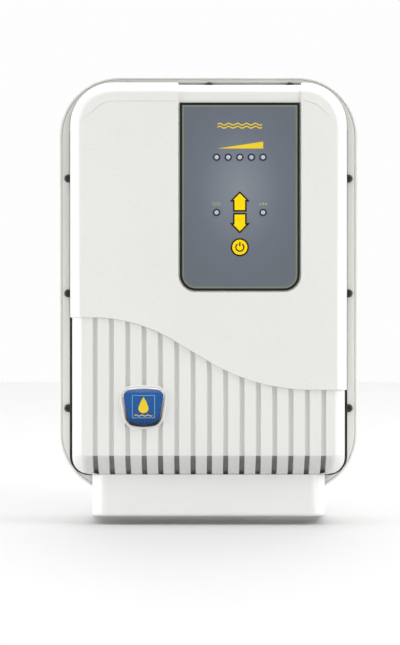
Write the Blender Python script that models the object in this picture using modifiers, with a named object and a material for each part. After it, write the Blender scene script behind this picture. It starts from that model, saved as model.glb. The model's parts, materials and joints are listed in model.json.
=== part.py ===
"""Salt chlorine generator: the wall-hung power and control unit, built as separate pieces.

Run it with blender --background --python part.py, or from Blender's text editor.

Metres, +Z up. The wall is the plane Y = 0 and the unit faces -Y. The origin is the centre of the wall
bracket's back face, which is level with the middle of the housing's flange.
"""

import math

import bmesh
import bpy
from mathutils import Vector

COLLECTION = "salt_chlorine_generator"

# Housing and flange, seen from the front
FLANGE_HALF_WIDTH = 0.130
FLANGE_HALF_HEIGHT = 0.181
FLANGE_CORNER = 0.052
TUB_INSET = 0.012
WALL = 0.003
LID_INSET = 0.0025

# Depths: negative Y is towards the user
BRACKET_FRONT = -0.002
TUB_BACK = -0.005
FLANGE_BACK = -0.049
FLANGE_FRONT = -0.058
LIP_FRONT = -0.063
LID_BACK = -0.0603
LID_FRONT = -0.0633
RIM_FRONT = -0.072
RIM_TOP = 0.1690
COVER_BACK = -0.0668
RIBBED_FRONT = -0.113
COVER_FRONT = -0.115
GAP = 0.0003

# Covers
COVER_HALF_WIDTH = 0.1202
COVER_TOP = 0.1757
COVER_BOTTOM = -0.165
COVER_CORNER = 0.0375
COVER_EDGE = 0.0087
RIBBED_HALF_WIDTH = 0.1184
RIBBED_WALL = 0.004
UPPER_FRONT_WALL = 0.0047
UPPER_TOP_WALL = 0.0055
POST_WIDTH = 0.008
POST_X = 0.104

# Wave between the covers: flat, down through two bends, flat again
WAVE_START_X = -0.1016
WAVE_START_Z = -0.0286
WAVE_FIRST_RADIUS = 0.1376
WAVE_SECOND_RADIUS = 0.1739
WAVE_STRAIGHT = 0.0359
WAVE_ANGLE = math.radians(31)

# Grooves of the ribbed cover
GROOVES = 15
GROOVE_PITCH = 0.01418
GROOVE_WIDTH = 0.0044
GROOVE_DEPTH = 0.0024
GROOVE_FIRST_X = -0.0985
FOLD_Z = -0.1485
FOLD_BACK = -0.096

# Control panel
PANEL_X = 0.0272
PANEL_HALF_WIDTH = 0.0522
PANEL_TOP = 0.1582
PANEL_BOTTOM = -0.0054
PANEL_CORNER = 0.014
RECESS_DEPTH = 0.0022
OVERLAY_BACK = -0.1131
OVERLAY_FRONT = -0.1141
WINDOW_HALF_WIDTH = 0.044
WINDOW_TOP = 0.122
WINDOW_BOTTOM = 0.014
LIGHT_PITCH = 0.01008
LIGHT_ROW_Z = 0.1107
LIGHT_RADIUS = 0.0022
SIDE_LIGHT_X = 0.0202
SIDE_LIGHT_Z = 0.0627
KEY_X = PANEL_X
ARROW_HALF_WIDTH = 0.00805
ARROW_STEM_HALF_WIDTH = 0.0055
ARROW_HEIGHT = 0.0168
ARROW_HEAD = 0.0082
ARROW_NOTCH = 0.00015
UP_ARROW_BASE_Z = 0.06387
DOWN_ARROW_BASE_Z = 0.06186
POWER_Z = 0.0325
POWER_RADIUS = 0.0075
KEY_FRONT = -0.1146
KEY_PLATE_FRONT = -0.1128
KEY_PLATE_BACK = -0.1118
KEY_STEM_BACK = -0.1107
SWITCH_FRONT = -0.110
BOARD_FRONT = -0.105
BOARD_BACK = -0.1034
BOARD_HALF_WIDTH = 0.051
BOARD_TOP = 0.128
BOARD_BOTTOM = 0.010
BOARD_SCREW_X = 0.048
BOARD_SCREW_Z = 0.066

# Lid screws
SCREW_INSET = 0.0078
SCREW_HEAD_RADIUS = 0.0035
SCREW_HEAD_HEIGHT = 0.0024
SCREW_SHANK_RADIUS = 0.0016
SCREW_HOLE_RADIUS = 0.0021
SCREW_SIDE_Z = (0.0926, -0.0075, -0.1076)
SCREW_TOP_X = (-0.0703, 0.0004, 0.0710)

# Badge, a shield on the ribbed cover
BADGE_X = -0.0565
BADGE_Z = -0.1064
BADGE_HALF_WIDTH = 0.01885
BADGE_HALF_HEIGHT = 0.0172
BADGE_RIM = 0.0018
BADGE_SOCKET = 0.0019
BADGE_SOCKET_FRONT = -0.1142
BADGE_BACK = -0.1145
BADGE_PLATE_FRONT = -0.1159
BADGE_RIM_FRONT = -0.1163

# Terminal skirt
SKIRT_HALF_WIDTH = 0.1011
SKIRT_TOP = -0.1654
SKIRT_BOTTOM = -0.2013
SKIRT_FRONT = -0.096
SKIRT_BACK = -0.012
SKIRT_CORNER = 0.013
SKIRT_SCREW_X = 0.0845
SKIRT_SCREW_Y = -0.030
COVER_SCREW_X = 0.070
COVER_SCREW_Y = -0.076

# Wall bracket and its hooks
BRACKET_HALF_WIDTH = 0.085
BRACKET_HALF_HEIGHT = 0.075
BRACKET_HOLE_X = 0.070
BRACKET_HOLE_Z = 0.060
BRACKET_HOLE_RADIUS = 0.00275
HOOK_X = 0.055
HOOK_HALF_WIDTH = 0.012
HOOK_SEAT_Z = 0.057
HOOK_TIP_Z = 0.067
SLOT_BOTTOM_Z = 0.042

# Bottom entries through the tub's floor
ENTRY_Y = -0.030
MAINS_X = -0.062
CELL_X = -0.026
SENSOR_X = 0.010
FUSE_X = 0.046
GLAND_HOLE_RADIUS = 0.0083
GLAND_NECK_RADIUS = 0.0080
GLAND_BORE_RADIUS = 0.0045
FUSE_HOLE_RADIUS = 0.0068

TUB_FLOOR_Z = -(FLANGE_HALF_HEIGHT - TUB_INSET)

# Transformer
COIL_X = -0.050
COIL_Z = -0.085
COIL_RADIUS = 0.050
COIL_HOLE_RADIUS = 0.019
COIL_BACK = -0.0085
COIL_FRONT = -0.0490

# Power board
POWER_BOARD_FRONT = -0.0176
POWER_BOARD_BACK = -0.0160

WHITE_PLASTIC = ((0.86, 0.86, 0.84), 0.28, 0.0)
RIB_PLASTIC = ((0.80, 0.80, 0.78), 0.35, 0.0)
GREY_PLASTIC = ((0.62, 0.62, 0.60), 0.45, 0.0)
LID_GREY = ((0.56, 0.56, 0.54), 0.50, 0.0)
RUBBER = ((0.03, 0.03, 0.03), 0.80, 0.0)
DARK_STEEL = ((0.20, 0.20, 0.20), 0.35, 1.0)
BRIGHT_STEEL = ((0.60, 0.60, 0.60), 0.30, 1.0)
ZINC = ((0.55, 0.56, 0.58), 0.40, 1.0)
OVERLAY_GREY = ((0.19, 0.20, 0.23), 0.40, 0.0)
KEY_YELLOW = ((1.0, 0.70, 0.01), 0.40, 0.0)
LENS = ((0.70, 0.72, 0.72), 0.20, 0.0)
BOARD_GREEN = ((0.02, 0.16, 0.06), 0.45, 0.0)
BLACK_PLASTIC = ((0.02, 0.02, 0.02), 0.50, 0.0)
COIL_YELLOW = ((0.75, 0.55, 0.10), 0.55, 0.0)
ALUMINIUM = ((0.70, 0.70, 0.72), 0.35, 1.0)
CHROME = ((0.80, 0.80, 0.82), 0.12, 1.0)
ENAMEL_BLUE = ((0.01, 0.10, 0.38), 0.25, 0.0)
RELAY_BLUE = ((0.03, 0.10, 0.30), 0.45, 0.0)
TERMINAL_GREEN = ((0.05, 0.30, 0.12), 0.50, 0.0)

ROTATION = {
    "X": (math.radians(90), 0, math.radians(90)),
    "Y": (math.radians(90), 0, 0),
    "Z": (0, 0, 0),
}


# Scene and materials


def clear_scene():
    for obj in list(bpy.data.objects):
        bpy.data.objects.remove(obj, do_unlink=True)


def new_collection(name):
    collection = bpy.data.collections.new(name)
    bpy.context.scene.collection.children.link(collection)
    return collection


def finish_piece(obj, look):
    """Gives a piece its own material and puts it among the parts."""
    colour, roughness, metallic = look
    material = bpy.data.materials.new(obj.name)
    material.use_nodes = True
    shader = material.node_tree.nodes["Principled BSDF"]
    shader.inputs["Base Color"].default_value = (*colour, 1.0)
    shader.inputs["Roughness"].default_value = roughness
    shader.inputs["Metallic"].default_value = metallic
    obj.data.materials.clear()
    obj.data.materials.append(material)
    for collection in list(obj.users_collection):
        collection.objects.unlink(obj)
    parts.objects.link(obj)
    return obj


def make_tool(obj):
    """Puts a shape that only cuts or joins among the hidden tools."""
    for collection in list(obj.users_collection):
        collection.objects.unlink(obj)
    tools.objects.link(obj)
    obj.hide_render = True
    obj.display_type = "WIRE"
    return obj


def boolean(piece, operation, tool):
    modifier = piece.modifiers.new(operation.title(), "BOOLEAN")
    modifier.operation = operation
    modifier.solver = "EXACT"
    modifier.object = make_tool(tool)


# Outlines, as lists of points in the plane that is extruded


def arc(x, z, radius, start, end, steps):
    """Points on a circle from one angle to the other, in degrees, both ends included."""
    angles = [math.radians(start + (end - start) * i / steps) for i in range(steps + 1)]
    return [(x + radius * math.cos(a), z + radius * math.sin(a)) for a in angles]


def circle(x, z, radius, steps=16):
    return arc(x, z, radius, 0, 360, steps)[:-1]


def box_outline(low_x, high_x, low_z, high_z):
    return [(low_x, low_z), (high_x, low_z), (high_x, high_z), (low_x, high_z)]


def rounded_box(low_x, high_x, low_z, high_z, bottom_radius, top_radius, steps=6):
    """A box whose two bottom corners and two top corners are rounded; a radius of 0 is a sharp one."""
    corners = (
        (high_x, low_z, -1, 1, -90, bottom_radius),
        (high_x, high_z, -1, -1, 0, top_radius),
        (low_x, high_z, 1, -1, 90, top_radius),
        (low_x, low_z, 1, 1, 180, bottom_radius),
    )
    points = []
    for x, z, side, up, start, radius in corners:
        if radius:
            points += arc(x + side * radius, z + up * radius, radius, start, start + 90, steps)
        else:
            points.append((x, z))
    return points


def flange_outline(inset):
    half_width = FLANGE_HALF_WIDTH - inset
    half_height = FLANGE_HALF_HEIGHT - inset
    radius = FLANGE_CORNER - inset
    return rounded_box(-half_width, half_width, -half_height, half_height, radius, radius)


def wave_outline():
    """The wave from left to right: a bend down, a straight slope and a bend back to level."""
    start = -90 - math.degrees(WAVE_ANGLE)
    bend = math.degrees(WAVE_ANGLE)
    first_centre = (WAVE_START_X, WAVE_START_Z - WAVE_FIRST_RADIUS)
    first = arc(*first_centre, WAVE_FIRST_RADIUS, 90, 90 - bend, 6)
    slope_x = first[-1][0] + WAVE_STRAIGHT * math.cos(WAVE_ANGLE)
    slope_z = first[-1][1] - WAVE_STRAIGHT * math.sin(WAVE_ANGLE)
    second_x = slope_x + WAVE_SECOND_RADIUS * math.sin(WAVE_ANGLE)
    second_z = slope_z + WAVE_SECOND_RADIUS * math.cos(WAVE_ANGLE)
    second = arc(second_x, second_z, WAVE_SECOND_RADIUS, start, -90, 6)
    level_z = second[-1][1]
    return [(-0.14, WAVE_START_Z), *first, *second, (0.14, level_z)]


def arrow_outline(base_z, direction, grow=0.0):
    """An arrow from its stem's end at base_z, up for 1 and down for -1, with a margin all round."""
    head_z = ARROW_HEIGHT - ARROW_HEAD - grow
    notch_z = head_z + ARROW_NOTCH
    half = ((ARROW_STEM_HALF_WIDTH, 0.0), (ARROW_STEM_HALF_WIDTH, notch_z), (ARROW_HALF_WIDTH, head_z))
    right = [(x + grow, z) for x, z in half]
    right[0] = (right[0][0], -grow)
    left = [(-x, z) for x, z in reversed(right)]
    tip = [(0.0, ARROW_HEIGHT + 1.4 * grow)]
    return [(KEY_X + x, base_z + direction * z) for x, z in right + tip + left]


def shield_outline(grow):
    """A shield with a bowed top, sides that taper downwards and a bowed foot."""
    half_top = BADGE_HALF_WIDTH + grow
    half_foot = half_top * 0.86
    shoulder = BADGE_Z + BADGE_HALF_HEIGHT + grow - 0.0030
    foot = BADGE_Z - BADGE_HALF_HEIGHT - grow + 0.0050
    steps = 8
    top = [1 - 2 * i / steps for i in range(steps + 1)]
    crown = [(BADGE_X + half_top * t, shoulder + 0.0030 * (1 - t * t)) for t in top]
    base = [(BADGE_X - half_foot * t, foot - 0.0050 * (1 - t * t)) for t in top]
    return crown + base


# Solids


def mesh_piece(name, bm):
    """A mesh object from a bmesh, with its faces turned outwards."""
    bmesh.ops.recalc_face_normals(bm, faces=bm.faces)
    mesh = bpy.data.meshes.new(name)
    bm.to_mesh(mesh)
    bm.free()
    obj = bpy.data.objects.new(name, mesh)
    bpy.context.scene.collection.objects.link(obj)
    return obj


def extruded(name, outlines, low, high, axis="Y", edge=0.0, edge_steps=3):
    """A flat outline, with any holes after it, carried along an axis from low to high.

    The outline lies in XZ for axis Y, in XY for axis Z and in YZ for axis X. An edge rounds the rim
    of the end towards -Y.
    """
    curve = bpy.data.curves.new(name, "CURVE")
    curve.dimensions = "2D"
    curve.fill_mode = "BOTH"
    curve.extrude = (high - low) / 2
    for outline in outlines:
        spline = curve.splines.new("POLY")
        spline.points.add(len(outline) - 1)
        spline.use_cyclic_u = True
        for point, (a, b) in zip(spline.points, outline):
            point.co = (a, b, 0, 1)
    guide = bpy.data.objects.new(name, curve)
    guide.rotation_euler = ROTATION[axis]
    guide.location["XYZ".index(axis)] = (low + high) / 2
    bpy.context.scene.collection.objects.link(guide)
    bpy.context.view_layer.update()
    evaluated = guide.evaluated_get(bpy.context.evaluated_depsgraph_get())
    solid = bpy.data.meshes.new_from_object(evaluated)
    bm = bmesh.new()
    bm.from_mesh(solid)
    bmesh.ops.remove_doubles(bm, verts=bm.verts, dist=1e-6)
    if len(outlines) == 1:
        bmesh.ops.dissolve_limit(bm, angle_limit=1e-3, verts=bm.verts, edges=bm.edges)
    if edge:
        front = (high - low) / 2
        rim = [e for e in bm.edges if all(abs(v.co.z - front) < 1e-6 for v in e.verts)]
        bmesh.ops.bevel(
            bm, geom=rim, offset=edge, segments=edge_steps, profile=0.5, affect="EDGES"
        )
    matrix = guide.matrix_world.copy()
    bpy.data.objects.remove(guide, do_unlink=True)
    bpy.data.meshes.remove(solid)
    obj = mesh_piece(name, bm)
    obj.matrix_world = matrix
    return obj


def block(name, low, high):
    """A box between two opposite corners."""
    bm = bmesh.new()
    bmesh.ops.create_cube(bm, size=1.0)
    for vert in bm.verts:
        vert.co = [a + (b - a) * (c + 0.5) for a, b, c in zip(low, high, vert.co)]
    return mesh_piece(name, bm)


def blocks(name, boxes):
    """Several separate boxes in one mesh, for a tool."""
    bm = bmesh.new()
    for low, high in boxes:
        made = bmesh.ops.create_cube(bm, size=1.0)["verts"]
        for vert in made:
            vert.co = [a + (b - a) * (c + 0.5) for a, b, c in zip(low, high, vert.co)]
    return mesh_piece(name, bm)


def turned(name, profile, place, axis="Y", steps=12, ring=False):
    """A profile of (radius, height) points, outer side from top to bottom, turned about its axis.

    Heights run towards -Y for axis Y and towards +Z for axis Z. A ring's profile is a closed loop.
    """
    mesh = bpy.data.meshes.new(name)
    points = [(radius, 0, height) for radius, height in profile]
    edges = [(i, i + 1) for i in range(len(points) - 1)]
    if ring:
        edges.append((len(points) - 1, 0))
    mesh.from_pydata(points, edges, [])
    obj = bpy.data.objects.new(name, mesh)
    obj.location = place
    obj.rotation_euler = ROTATION[axis]
    screw = obj.modifiers.new("Screw", "SCREW")
    screw.steps = steps
    screw.render_steps = steps
    screw.use_merge_vertices = True
    screw.merge_threshold = 1e-5
    bpy.context.scene.collection.objects.link(obj)
    return obj


def tube(name, points, radius):
    """A round lead along a list of points."""
    curve = bpy.data.curves.new(name, "CURVE")
    curve.dimensions = "3D"
    curve.bevel_depth = radius
    curve.bevel_resolution = 2
    curve.use_fill_caps = True
    spline = curve.splines.new("POLY")
    spline.points.add(len(points) - 1)
    for point, place in zip(spline.points, points):
        point.co = (*place, 1)
    obj = bpy.data.objects.new(name, curve)
    bpy.context.scene.collection.objects.link(obj)
    return obj


# Housing, lid and wall bracket


def lid_screw_places():
    """Name and (x, z) of each screw round the lid."""
    side_x = FLANGE_HALF_WIDTH - SCREW_INSET
    end_z = FLANGE_HALF_HEIGHT - SCREW_INSET
    places = {}
    for i, z in enumerate(SCREW_SIDE_Z, start=1):
        places[f"lid_screw_left_{i}"] = (-side_x, z)
        places[f"lid_screw_right_{i}"] = (side_x, z)
    for i, x in enumerate(SCREW_TOP_X, start=1):
        places[f"lid_screw_top_{i}"] = (x, end_z)
        places[f"lid_screw_bottom_{i}"] = (x, -end_z)
    return places


def build_wall_bracket():
    plate = rounded_box(
        -BRACKET_HALF_WIDTH, BRACKET_HALF_WIDTH, -BRACKET_HALF_HEIGHT, BRACKET_HALF_HEIGHT,
        0.008, 0.008, steps=4,
    )
    holes = [
        circle(x, z, BRACKET_HOLE_RADIUS, 12)
        for x in (-BRACKET_HOLE_X, BRACKET_HOLE_X)
        for z in (-BRACKET_HOLE_Z, BRACKET_HOLE_Z)
    ]
    bracket = extruded("wall_bracket", [plate, *holes], BRACKET_FRONT, 0.0)
    thick = 0.002
    tongue_front = TUB_BACK - WALL - GAP - thick
    for centre in (-HOOK_X, HOOK_X):
        low_x, high_x = centre - HOOK_HALF_WIDTH, centre + HOOK_HALF_WIDTH
        hook = [
            (BRACKET_FRONT / 2, HOOK_SEAT_Z - thick),
            (BRACKET_FRONT / 2, HOOK_SEAT_Z),
            (tongue_front + thick, HOOK_SEAT_Z),
            (tongue_front + thick, HOOK_TIP_Z),
            (tongue_front, HOOK_TIP_Z),
            (tongue_front, HOOK_SEAT_Z - thick),
        ]
        boolean(bracket, "UNION", extruded("hook", [hook], low_x, high_x, axis="X"))
    finish_piece(bracket, ZINC)


def power_board_posts():
    return [(x, z) for x in (0.004, 0.100) for z in (-0.034, 0.114)]


def build_rear_housing():
    housing = extruded("rear_housing", [flange_outline(0)], LIP_FRONT, FLANGE_BACK)
    tub = extruded("tub", [flange_outline(TUB_INSET)], FLANGE_BACK - 0.004, TUB_BACK)
    boolean(housing, "UNION", tub)
    inside = flange_outline(TUB_INSET + WALL)
    cavity = extruded("cavity", [inside], LIP_FRONT - 0.004, TUB_BACK - WALL)
    boolean(housing, "DIFFERENCE", cavity)
    lip = extruded("lip_recess", [flange_outline(LID_INSET - GAP)], LIP_FRONT - 0.004, FLANGE_FRONT)
    boolean(housing, "DIFFERENCE", lip)
    pilots = [circle(x, z, SCREW_HOLE_RADIUS, 10) for x, z in lid_screw_places().values()]
    pilot_depth = FLANGE_BACK - 0.002
    boolean(housing, "DIFFERENCE", extruded("pilots", pilots, FLANGE_FRONT - 0.002, pilot_depth))
    slots = [
        box_outline(x - 0.014, x + 0.014, SLOT_BOTTOM_Z, HOOK_SEAT_Z + GAP) for x in (-HOOK_X, HOOK_X)
    ]
    boolean(housing, "DIFFERENCE", extruded("hook_slots", slots, -0.012, 0.004))

    posts = [circle(x, z, 0.004, 12) for x, z in power_board_posts()]
    posts.append(circle(COIL_X, COIL_Z, 0.007, 12))
    boolean(housing, "UNION", extruded("posts", posts, POWER_BOARD_BACK + GAP, TUB_BACK - 0.001))
    post_holes = [circle(x, z, 0.0019, 10) for x, z in power_board_posts()]
    post_holes.append(circle(COIL_X, COIL_Z, 0.0034, 10))
    boolean(housing, "DIFFERENCE", extruded("post_holes", post_holes, -0.02, -0.0075))

    entries = [circle(x, ENTRY_Y, GLAND_HOLE_RADIUS) for x in (MAINS_X, CELL_X, SENSOR_X)]
    entries.append(circle(FUSE_X, ENTRY_Y, FUSE_HOLE_RADIUS))
    floor_low, floor_high = TUB_FLOOR_Z - 0.004, TUB_FLOOR_Z + 0.006
    boolean(housing, "DIFFERENCE", extruded("entries", entries, floor_low, floor_high, axis="Z"))
    bosses = [circle(x, SKIRT_SCREW_Y, 0.005, 12) for x in (-SKIRT_SCREW_X, SKIRT_SCREW_X)]
    boss_low, boss_high = TUB_FLOOR_Z + 0.0018, TUB_FLOOR_Z + 0.014
    boolean(housing, "UNION", extruded("skirt_bosses", bosses, boss_low, boss_high, axis="Z"))
    taps = [circle(x, SKIRT_SCREW_Y, 0.0021, 10) for x in (-SKIRT_SCREW_X, SKIRT_SCREW_X)]
    boolean(housing, "DIFFERENCE", extruded("skirt_taps", taps, -0.18, boss_high - 0.001, axis="Z"))
    finish_piece(housing, GREY_PLASTIC)


def build_gasket():
    outer = flange_outline(SCREW_INSET + 0.0032)
    inner = flange_outline(SCREW_INSET + 0.0066)
    gasket = extruded("lid_gasket", [outer, inner], LID_BACK + GAP, FLANGE_FRONT - GAP)
    finish_piece(gasket, RUBBER)


def rim_outline(inset):
    """The upstand on the lid that the covers' walls stand round."""
    margin = WALL + 0.0015 + inset
    return rounded_box(
        -RIBBED_HALF_WIDTH + margin, RIBBED_HALF_WIDTH - margin, COVER_BOTTOM + margin,
        RIM_TOP - inset, 0.0105 - inset, 0.031 - inset, steps=6,
    )


def build_lid_plate():
    lid = extruded("lid_plate", [flange_outline(LID_INSET)], LID_FRONT, LID_BACK)
    ways = [circle(x, z, SCREW_HOLE_RADIUS, 10) for x, z in lid_screw_places().values()]
    ways.append(rounded_box(0.022, 0.046, 0.040, 0.052, 0.002, 0.002, steps=2))
    boolean(lid, "DIFFERENCE", extruded("lid_ways", ways, LID_FRONT - 0.002, LID_BACK + 0.002))
    rim = extruded("locating_rim", [rim_outline(0), rim_outline(0.002)], RIM_FRONT, LID_FRONT + 0.001)
    boolean(lid, "UNION", rim)
    for x in (-COVER_SCREW_X, COVER_SCREW_X):
        boss = block("cover_boss", (x - 0.006, -0.083, -0.1606), (x + 0.006, -0.062, -0.146))
        boolean(lid, "UNION", boss)
        tap = extruded("cover_tap", [circle(x, COVER_SCREW_Y, 0.0021, 10)], -0.17, -0.149, axis="Z")
        boolean(lid, "DIFFERENCE", tap)
    finish_piece(lid, LID_GREY)


def pan_head_profile(head_radius, head_height, shank_radius, length):
    """A pan head above its seat at height 0 and a shank below it."""
    return [
        (0, head_height),
        (head_radius * 0.70, head_height * 0.92),
        (head_radius, head_height * 0.45),
        (head_radius, 0),
        (shank_radius, 0),
        (shank_radius, -length),
        (0, -length),
    ]


def build_screw(name, place, length, axis="Y", flip=False, head=SCREW_HEAD_RADIUS):
    """A pan-head screw seated at place. Its head points to -Y, or to -Z when axis is Z."""
    profile = pan_head_profile(head, SCREW_HEAD_HEIGHT, SCREW_SHANK_RADIUS, length)
    screw = turned(name, profile, place, axis=axis, steps=10)
    if flip:
        screw.rotation_euler.x += math.pi
    finish_piece(screw, DARK_STEEL)


def build_lid_screws():
    for name, (x, z) in lid_screw_places().items():
        build_screw(name, (x, LID_FRONT - GAP, z), 0.011)


# Covers


def cover_body(name, half_width, corner, foot_corner, front, inset, back, edge, top=COVER_TOP):
    """A rounded block standing on the lid, its front rim rounded."""
    outline = rounded_box(
        -half_width + inset, half_width - inset, COVER_BOTTOM + inset, top,
        foot_corner - inset, corner - inset,
    )
    return extruded(name, [outline], front, back, edge=edge, edge_steps=4)


def upper_region(name, drop, low_z):
    """What lies above the wave, or below it when low_z is under it."""
    wave = [(x, z - drop) for x, z in wave_outline()]
    return extruded(name, [wave + [(0.14, low_z), (-0.14, low_z)]], -0.13, -0.05)


def panel_outline(grow):
    return rounded_box(
        PANEL_X - PANEL_HALF_WIDTH - grow, PANEL_X + PANEL_HALF_WIDTH + grow,
        PANEL_BOTTOM - grow, PANEL_TOP, PANEL_CORNER + grow, 0, steps=5,
    )


def recess_view():
    """Side view (y, z) of what the panel's recess takes away: it runs up and over the top edge."""
    floor = COVER_FRONT + RECESS_DEPTH
    centre = (COVER_FRONT + COVER_EDGE, COVER_TOP - COVER_EDGE)
    over = arc(*centre, COVER_EDGE - RECESS_DEPTH, 180, 90, 4)
    behind = COVER_BACK + 0.002
    outside = [(behind, COVER_TOP - RECESS_DEPTH), (behind, 0.19), (-0.125, 0.19), (-0.125, -0.03)]
    return [(floor, -0.03), *over, *outside]


def cover_posts(places, inner_front):
    """Square posts from a cover's front wall to the lid."""
    half = POST_WIDTH / 2
    shapes = [
        ((x - half, inner_front - 0.0005, z - half), (x + half, LID_FRONT - GAP, z + half))
        for x, z in places
    ]
    return blocks("cover_posts", shapes)


def build_upper_cover():
    cover = cover_body(
        "upper_cover", COVER_HALF_WIDTH, COVER_CORNER, COVER_CORNER, COVER_FRONT, 0, COVER_BACK,
        COVER_EDGE,
    )
    inside = cover_body(
        "upper_inside", COVER_HALF_WIDTH, COVER_CORNER, COVER_CORNER,
        COVER_FRONT + UPPER_FRONT_WALL, WALL, COVER_BACK + 0.004, COVER_EDGE - WALL,
        top=COVER_TOP - UPPER_TOP_WALL,
    )
    boolean(cover, "DIFFERENCE", inside)
    boolean(cover, "INTERSECT", upper_region("above_wave", 0, 0.2))
    outline = [
        (x, 0.2 if z > PANEL_TOP - 0.001 else z) for x, z in panel_outline(0.0012)
    ]
    recess = extruded("recess", [outline], -0.13, -0.06)
    boolean(recess, "INTERSECT", extruded("recess_view", [recess_view()], -0.1, 0.1, axis="X"))
    boolean(cover, "DIFFERENCE", recess)
    window = rounded_box(
        PANEL_X - WINDOW_HALF_WIDTH, PANEL_X + WINDOW_HALF_WIDTH, WINDOW_BOTTOM, WINDOW_TOP,
        0.003, 0.003, steps=2,
    )
    boolean(cover, "DIFFERENCE", extruded("window", [window], -0.12, -0.09))

    board_posts = [
        circle(PANEL_X + side * BOARD_SCREW_X, BOARD_SCREW_Z, 0.0036, 12) for side in (-1, 1)
    ]
    post_front = COVER_FRONT + UPPER_FRONT_WALL - 0.001
    posts = extruded("board_posts", board_posts, post_front, BOARD_FRONT - GAP)
    boolean(cover, "UNION", posts)
    taps = [
        circle(PANEL_X + side * BOARD_SCREW_X, BOARD_SCREW_Z, 0.0019, 10) for side in (-1, 1)
    ]
    boolean(cover, "DIFFERENCE", extruded("board_taps", taps, -0.1115, -0.09))

    posts = [(side * POST_X, z) for side in (-1, 1) for z in (0.004, 0.110)]
    boolean(cover, "UNION", cover_posts(posts, COVER_FRONT + UPPER_FRONT_WALL))
    finish_piece(cover, WHITE_PLASTIC)


def fold_profile(inward):
    """Side view (y, z) of the ribbed cover's front: flat, a fold, then a band curving back."""
    turn = math.radians(30)
    drop = FOLD_Z - COVER_BOTTOM
    back = FOLD_BACK - RIBBED_FRONT
    chord = math.hypot(back, drop)
    slant = math.atan2(back, drop)
    radius = chord / (2 * math.sin(turn))
    centre_y = RIBBED_FRONT + radius * math.cos(slant - turn)
    centre_z = FOLD_Z + radius * math.sin(slant - turn)
    first, last = 180 + math.degrees(slant - turn), 180 + math.degrees(slant + turn)
    band = arc(centre_y, centre_z, radius - inward, first, last, 5)
    return [(RIBBED_FRONT + inward, 0.01), *band]


def build_ribbed_cover():
    cover = cover_body(
        "ribbed_cover", RIBBED_HALF_WIDTH, COVER_CORNER, 0.015, RIBBED_FRONT, 0, COVER_BACK,
        COVER_EDGE,
    )
    side_view = fold_profile(0) + [(COVER_BACK + 0.01, COVER_BOTTOM - 0.01), (COVER_BACK + 0.01, 0.01)]
    boolean(cover, "INTERSECT", extruded("side_view", [side_view], -0.14, 0.14, axis="X"))
    inside = rounded_box(
        -RIBBED_HALF_WIDTH + WALL, RIBBED_HALF_WIDTH - WALL, COVER_BOTTOM + WALL, 0.02, 0.012, 0,
        steps=4,
    )
    hollow = extruded("ribbed_hollow", [inside], RIBBED_FRONT + RIBBED_WALL, COVER_BACK + 0.004)
    inner_view = fold_profile(RIBBED_WALL)
    inner_view += [(COVER_BACK + 0.01, COVER_BOTTOM - 0.01), (COVER_BACK + 0.01, 0.01)]
    boolean(hollow, "INTERSECT", extruded("inner_view", [inner_view], -0.14, 0.14, axis="X"))
    boolean(cover, "DIFFERENCE", hollow)
    boolean(cover, "INTERSECT", upper_region("below_wave", 2 * GAP, -0.2))

    floor = fold_profile(GROOVE_DEPTH)
    groove = floor + [(FOLD_BACK - 0.02, -0.19), (RIBBED_FRONT - 0.02, -0.19), (RIBBED_FRONT - 0.02, 0.01)]
    low_x = GROOVE_FIRST_X - GROOVE_WIDTH / 2
    cutter = extruded("grooves", [groove], low_x, low_x + GROOVE_WIDTH, axis="X")
    copies = cutter.modifiers.new("Copies", "ARRAY")
    copies.count = GROOVES
    copies.use_relative_offset = False
    copies.use_constant_offset = True
    copies.constant_offset_displace = (0, 0, GROOVE_PITCH)
    boolean(cover, "DIFFERENCE", cutter)

    socket = extruded("badge_socket", [shield_outline(BADGE_SOCKET)], BADGE_SOCKET_FRONT, -0.1095)
    boolean(cover, "UNION", socket)
    holes = [circle(side * COVER_SCREW_X, COVER_SCREW_Y, 0.0022, 10) for side in (-1, 1)]
    boolean(cover, "DIFFERENCE", extruded("screw_ways", holes, -0.17, -0.158, axis="Z"))
    posts = [(side * POST_X, -0.125) for side in (-1, 1)]
    boolean(cover, "UNION", cover_posts(posts, RIBBED_FRONT + RIBBED_WALL))
    finish_piece(cover, RIB_PLASTIC)


def build_cover_screws():
    for side, word in ((-1, "left"), (1, "right")):
        place = (side * COVER_SCREW_X, COVER_SCREW_Y, COVER_BOTTOM - GAP)
        build_screw(f"cover_screw_{word}", place, 0.0125, axis="Z", flip=True)


def skirt_plan(inset):
    """Plan view (x, y) of the skirt: straight sides, rounded front corners, open at the back."""
    low_y = SKIRT_FRONT + inset
    radius = SKIRT_CORNER - inset
    half = SKIRT_HALF_WIDTH - inset
    right = arc(half - radius, low_y + radius, radius, 0, -90, 5)
    left = arc(-half + radius, low_y + radius, radius, -90, -180, 5)
    return [(half, SKIRT_BACK), *right, *left, (-half, SKIRT_BACK)]


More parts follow.
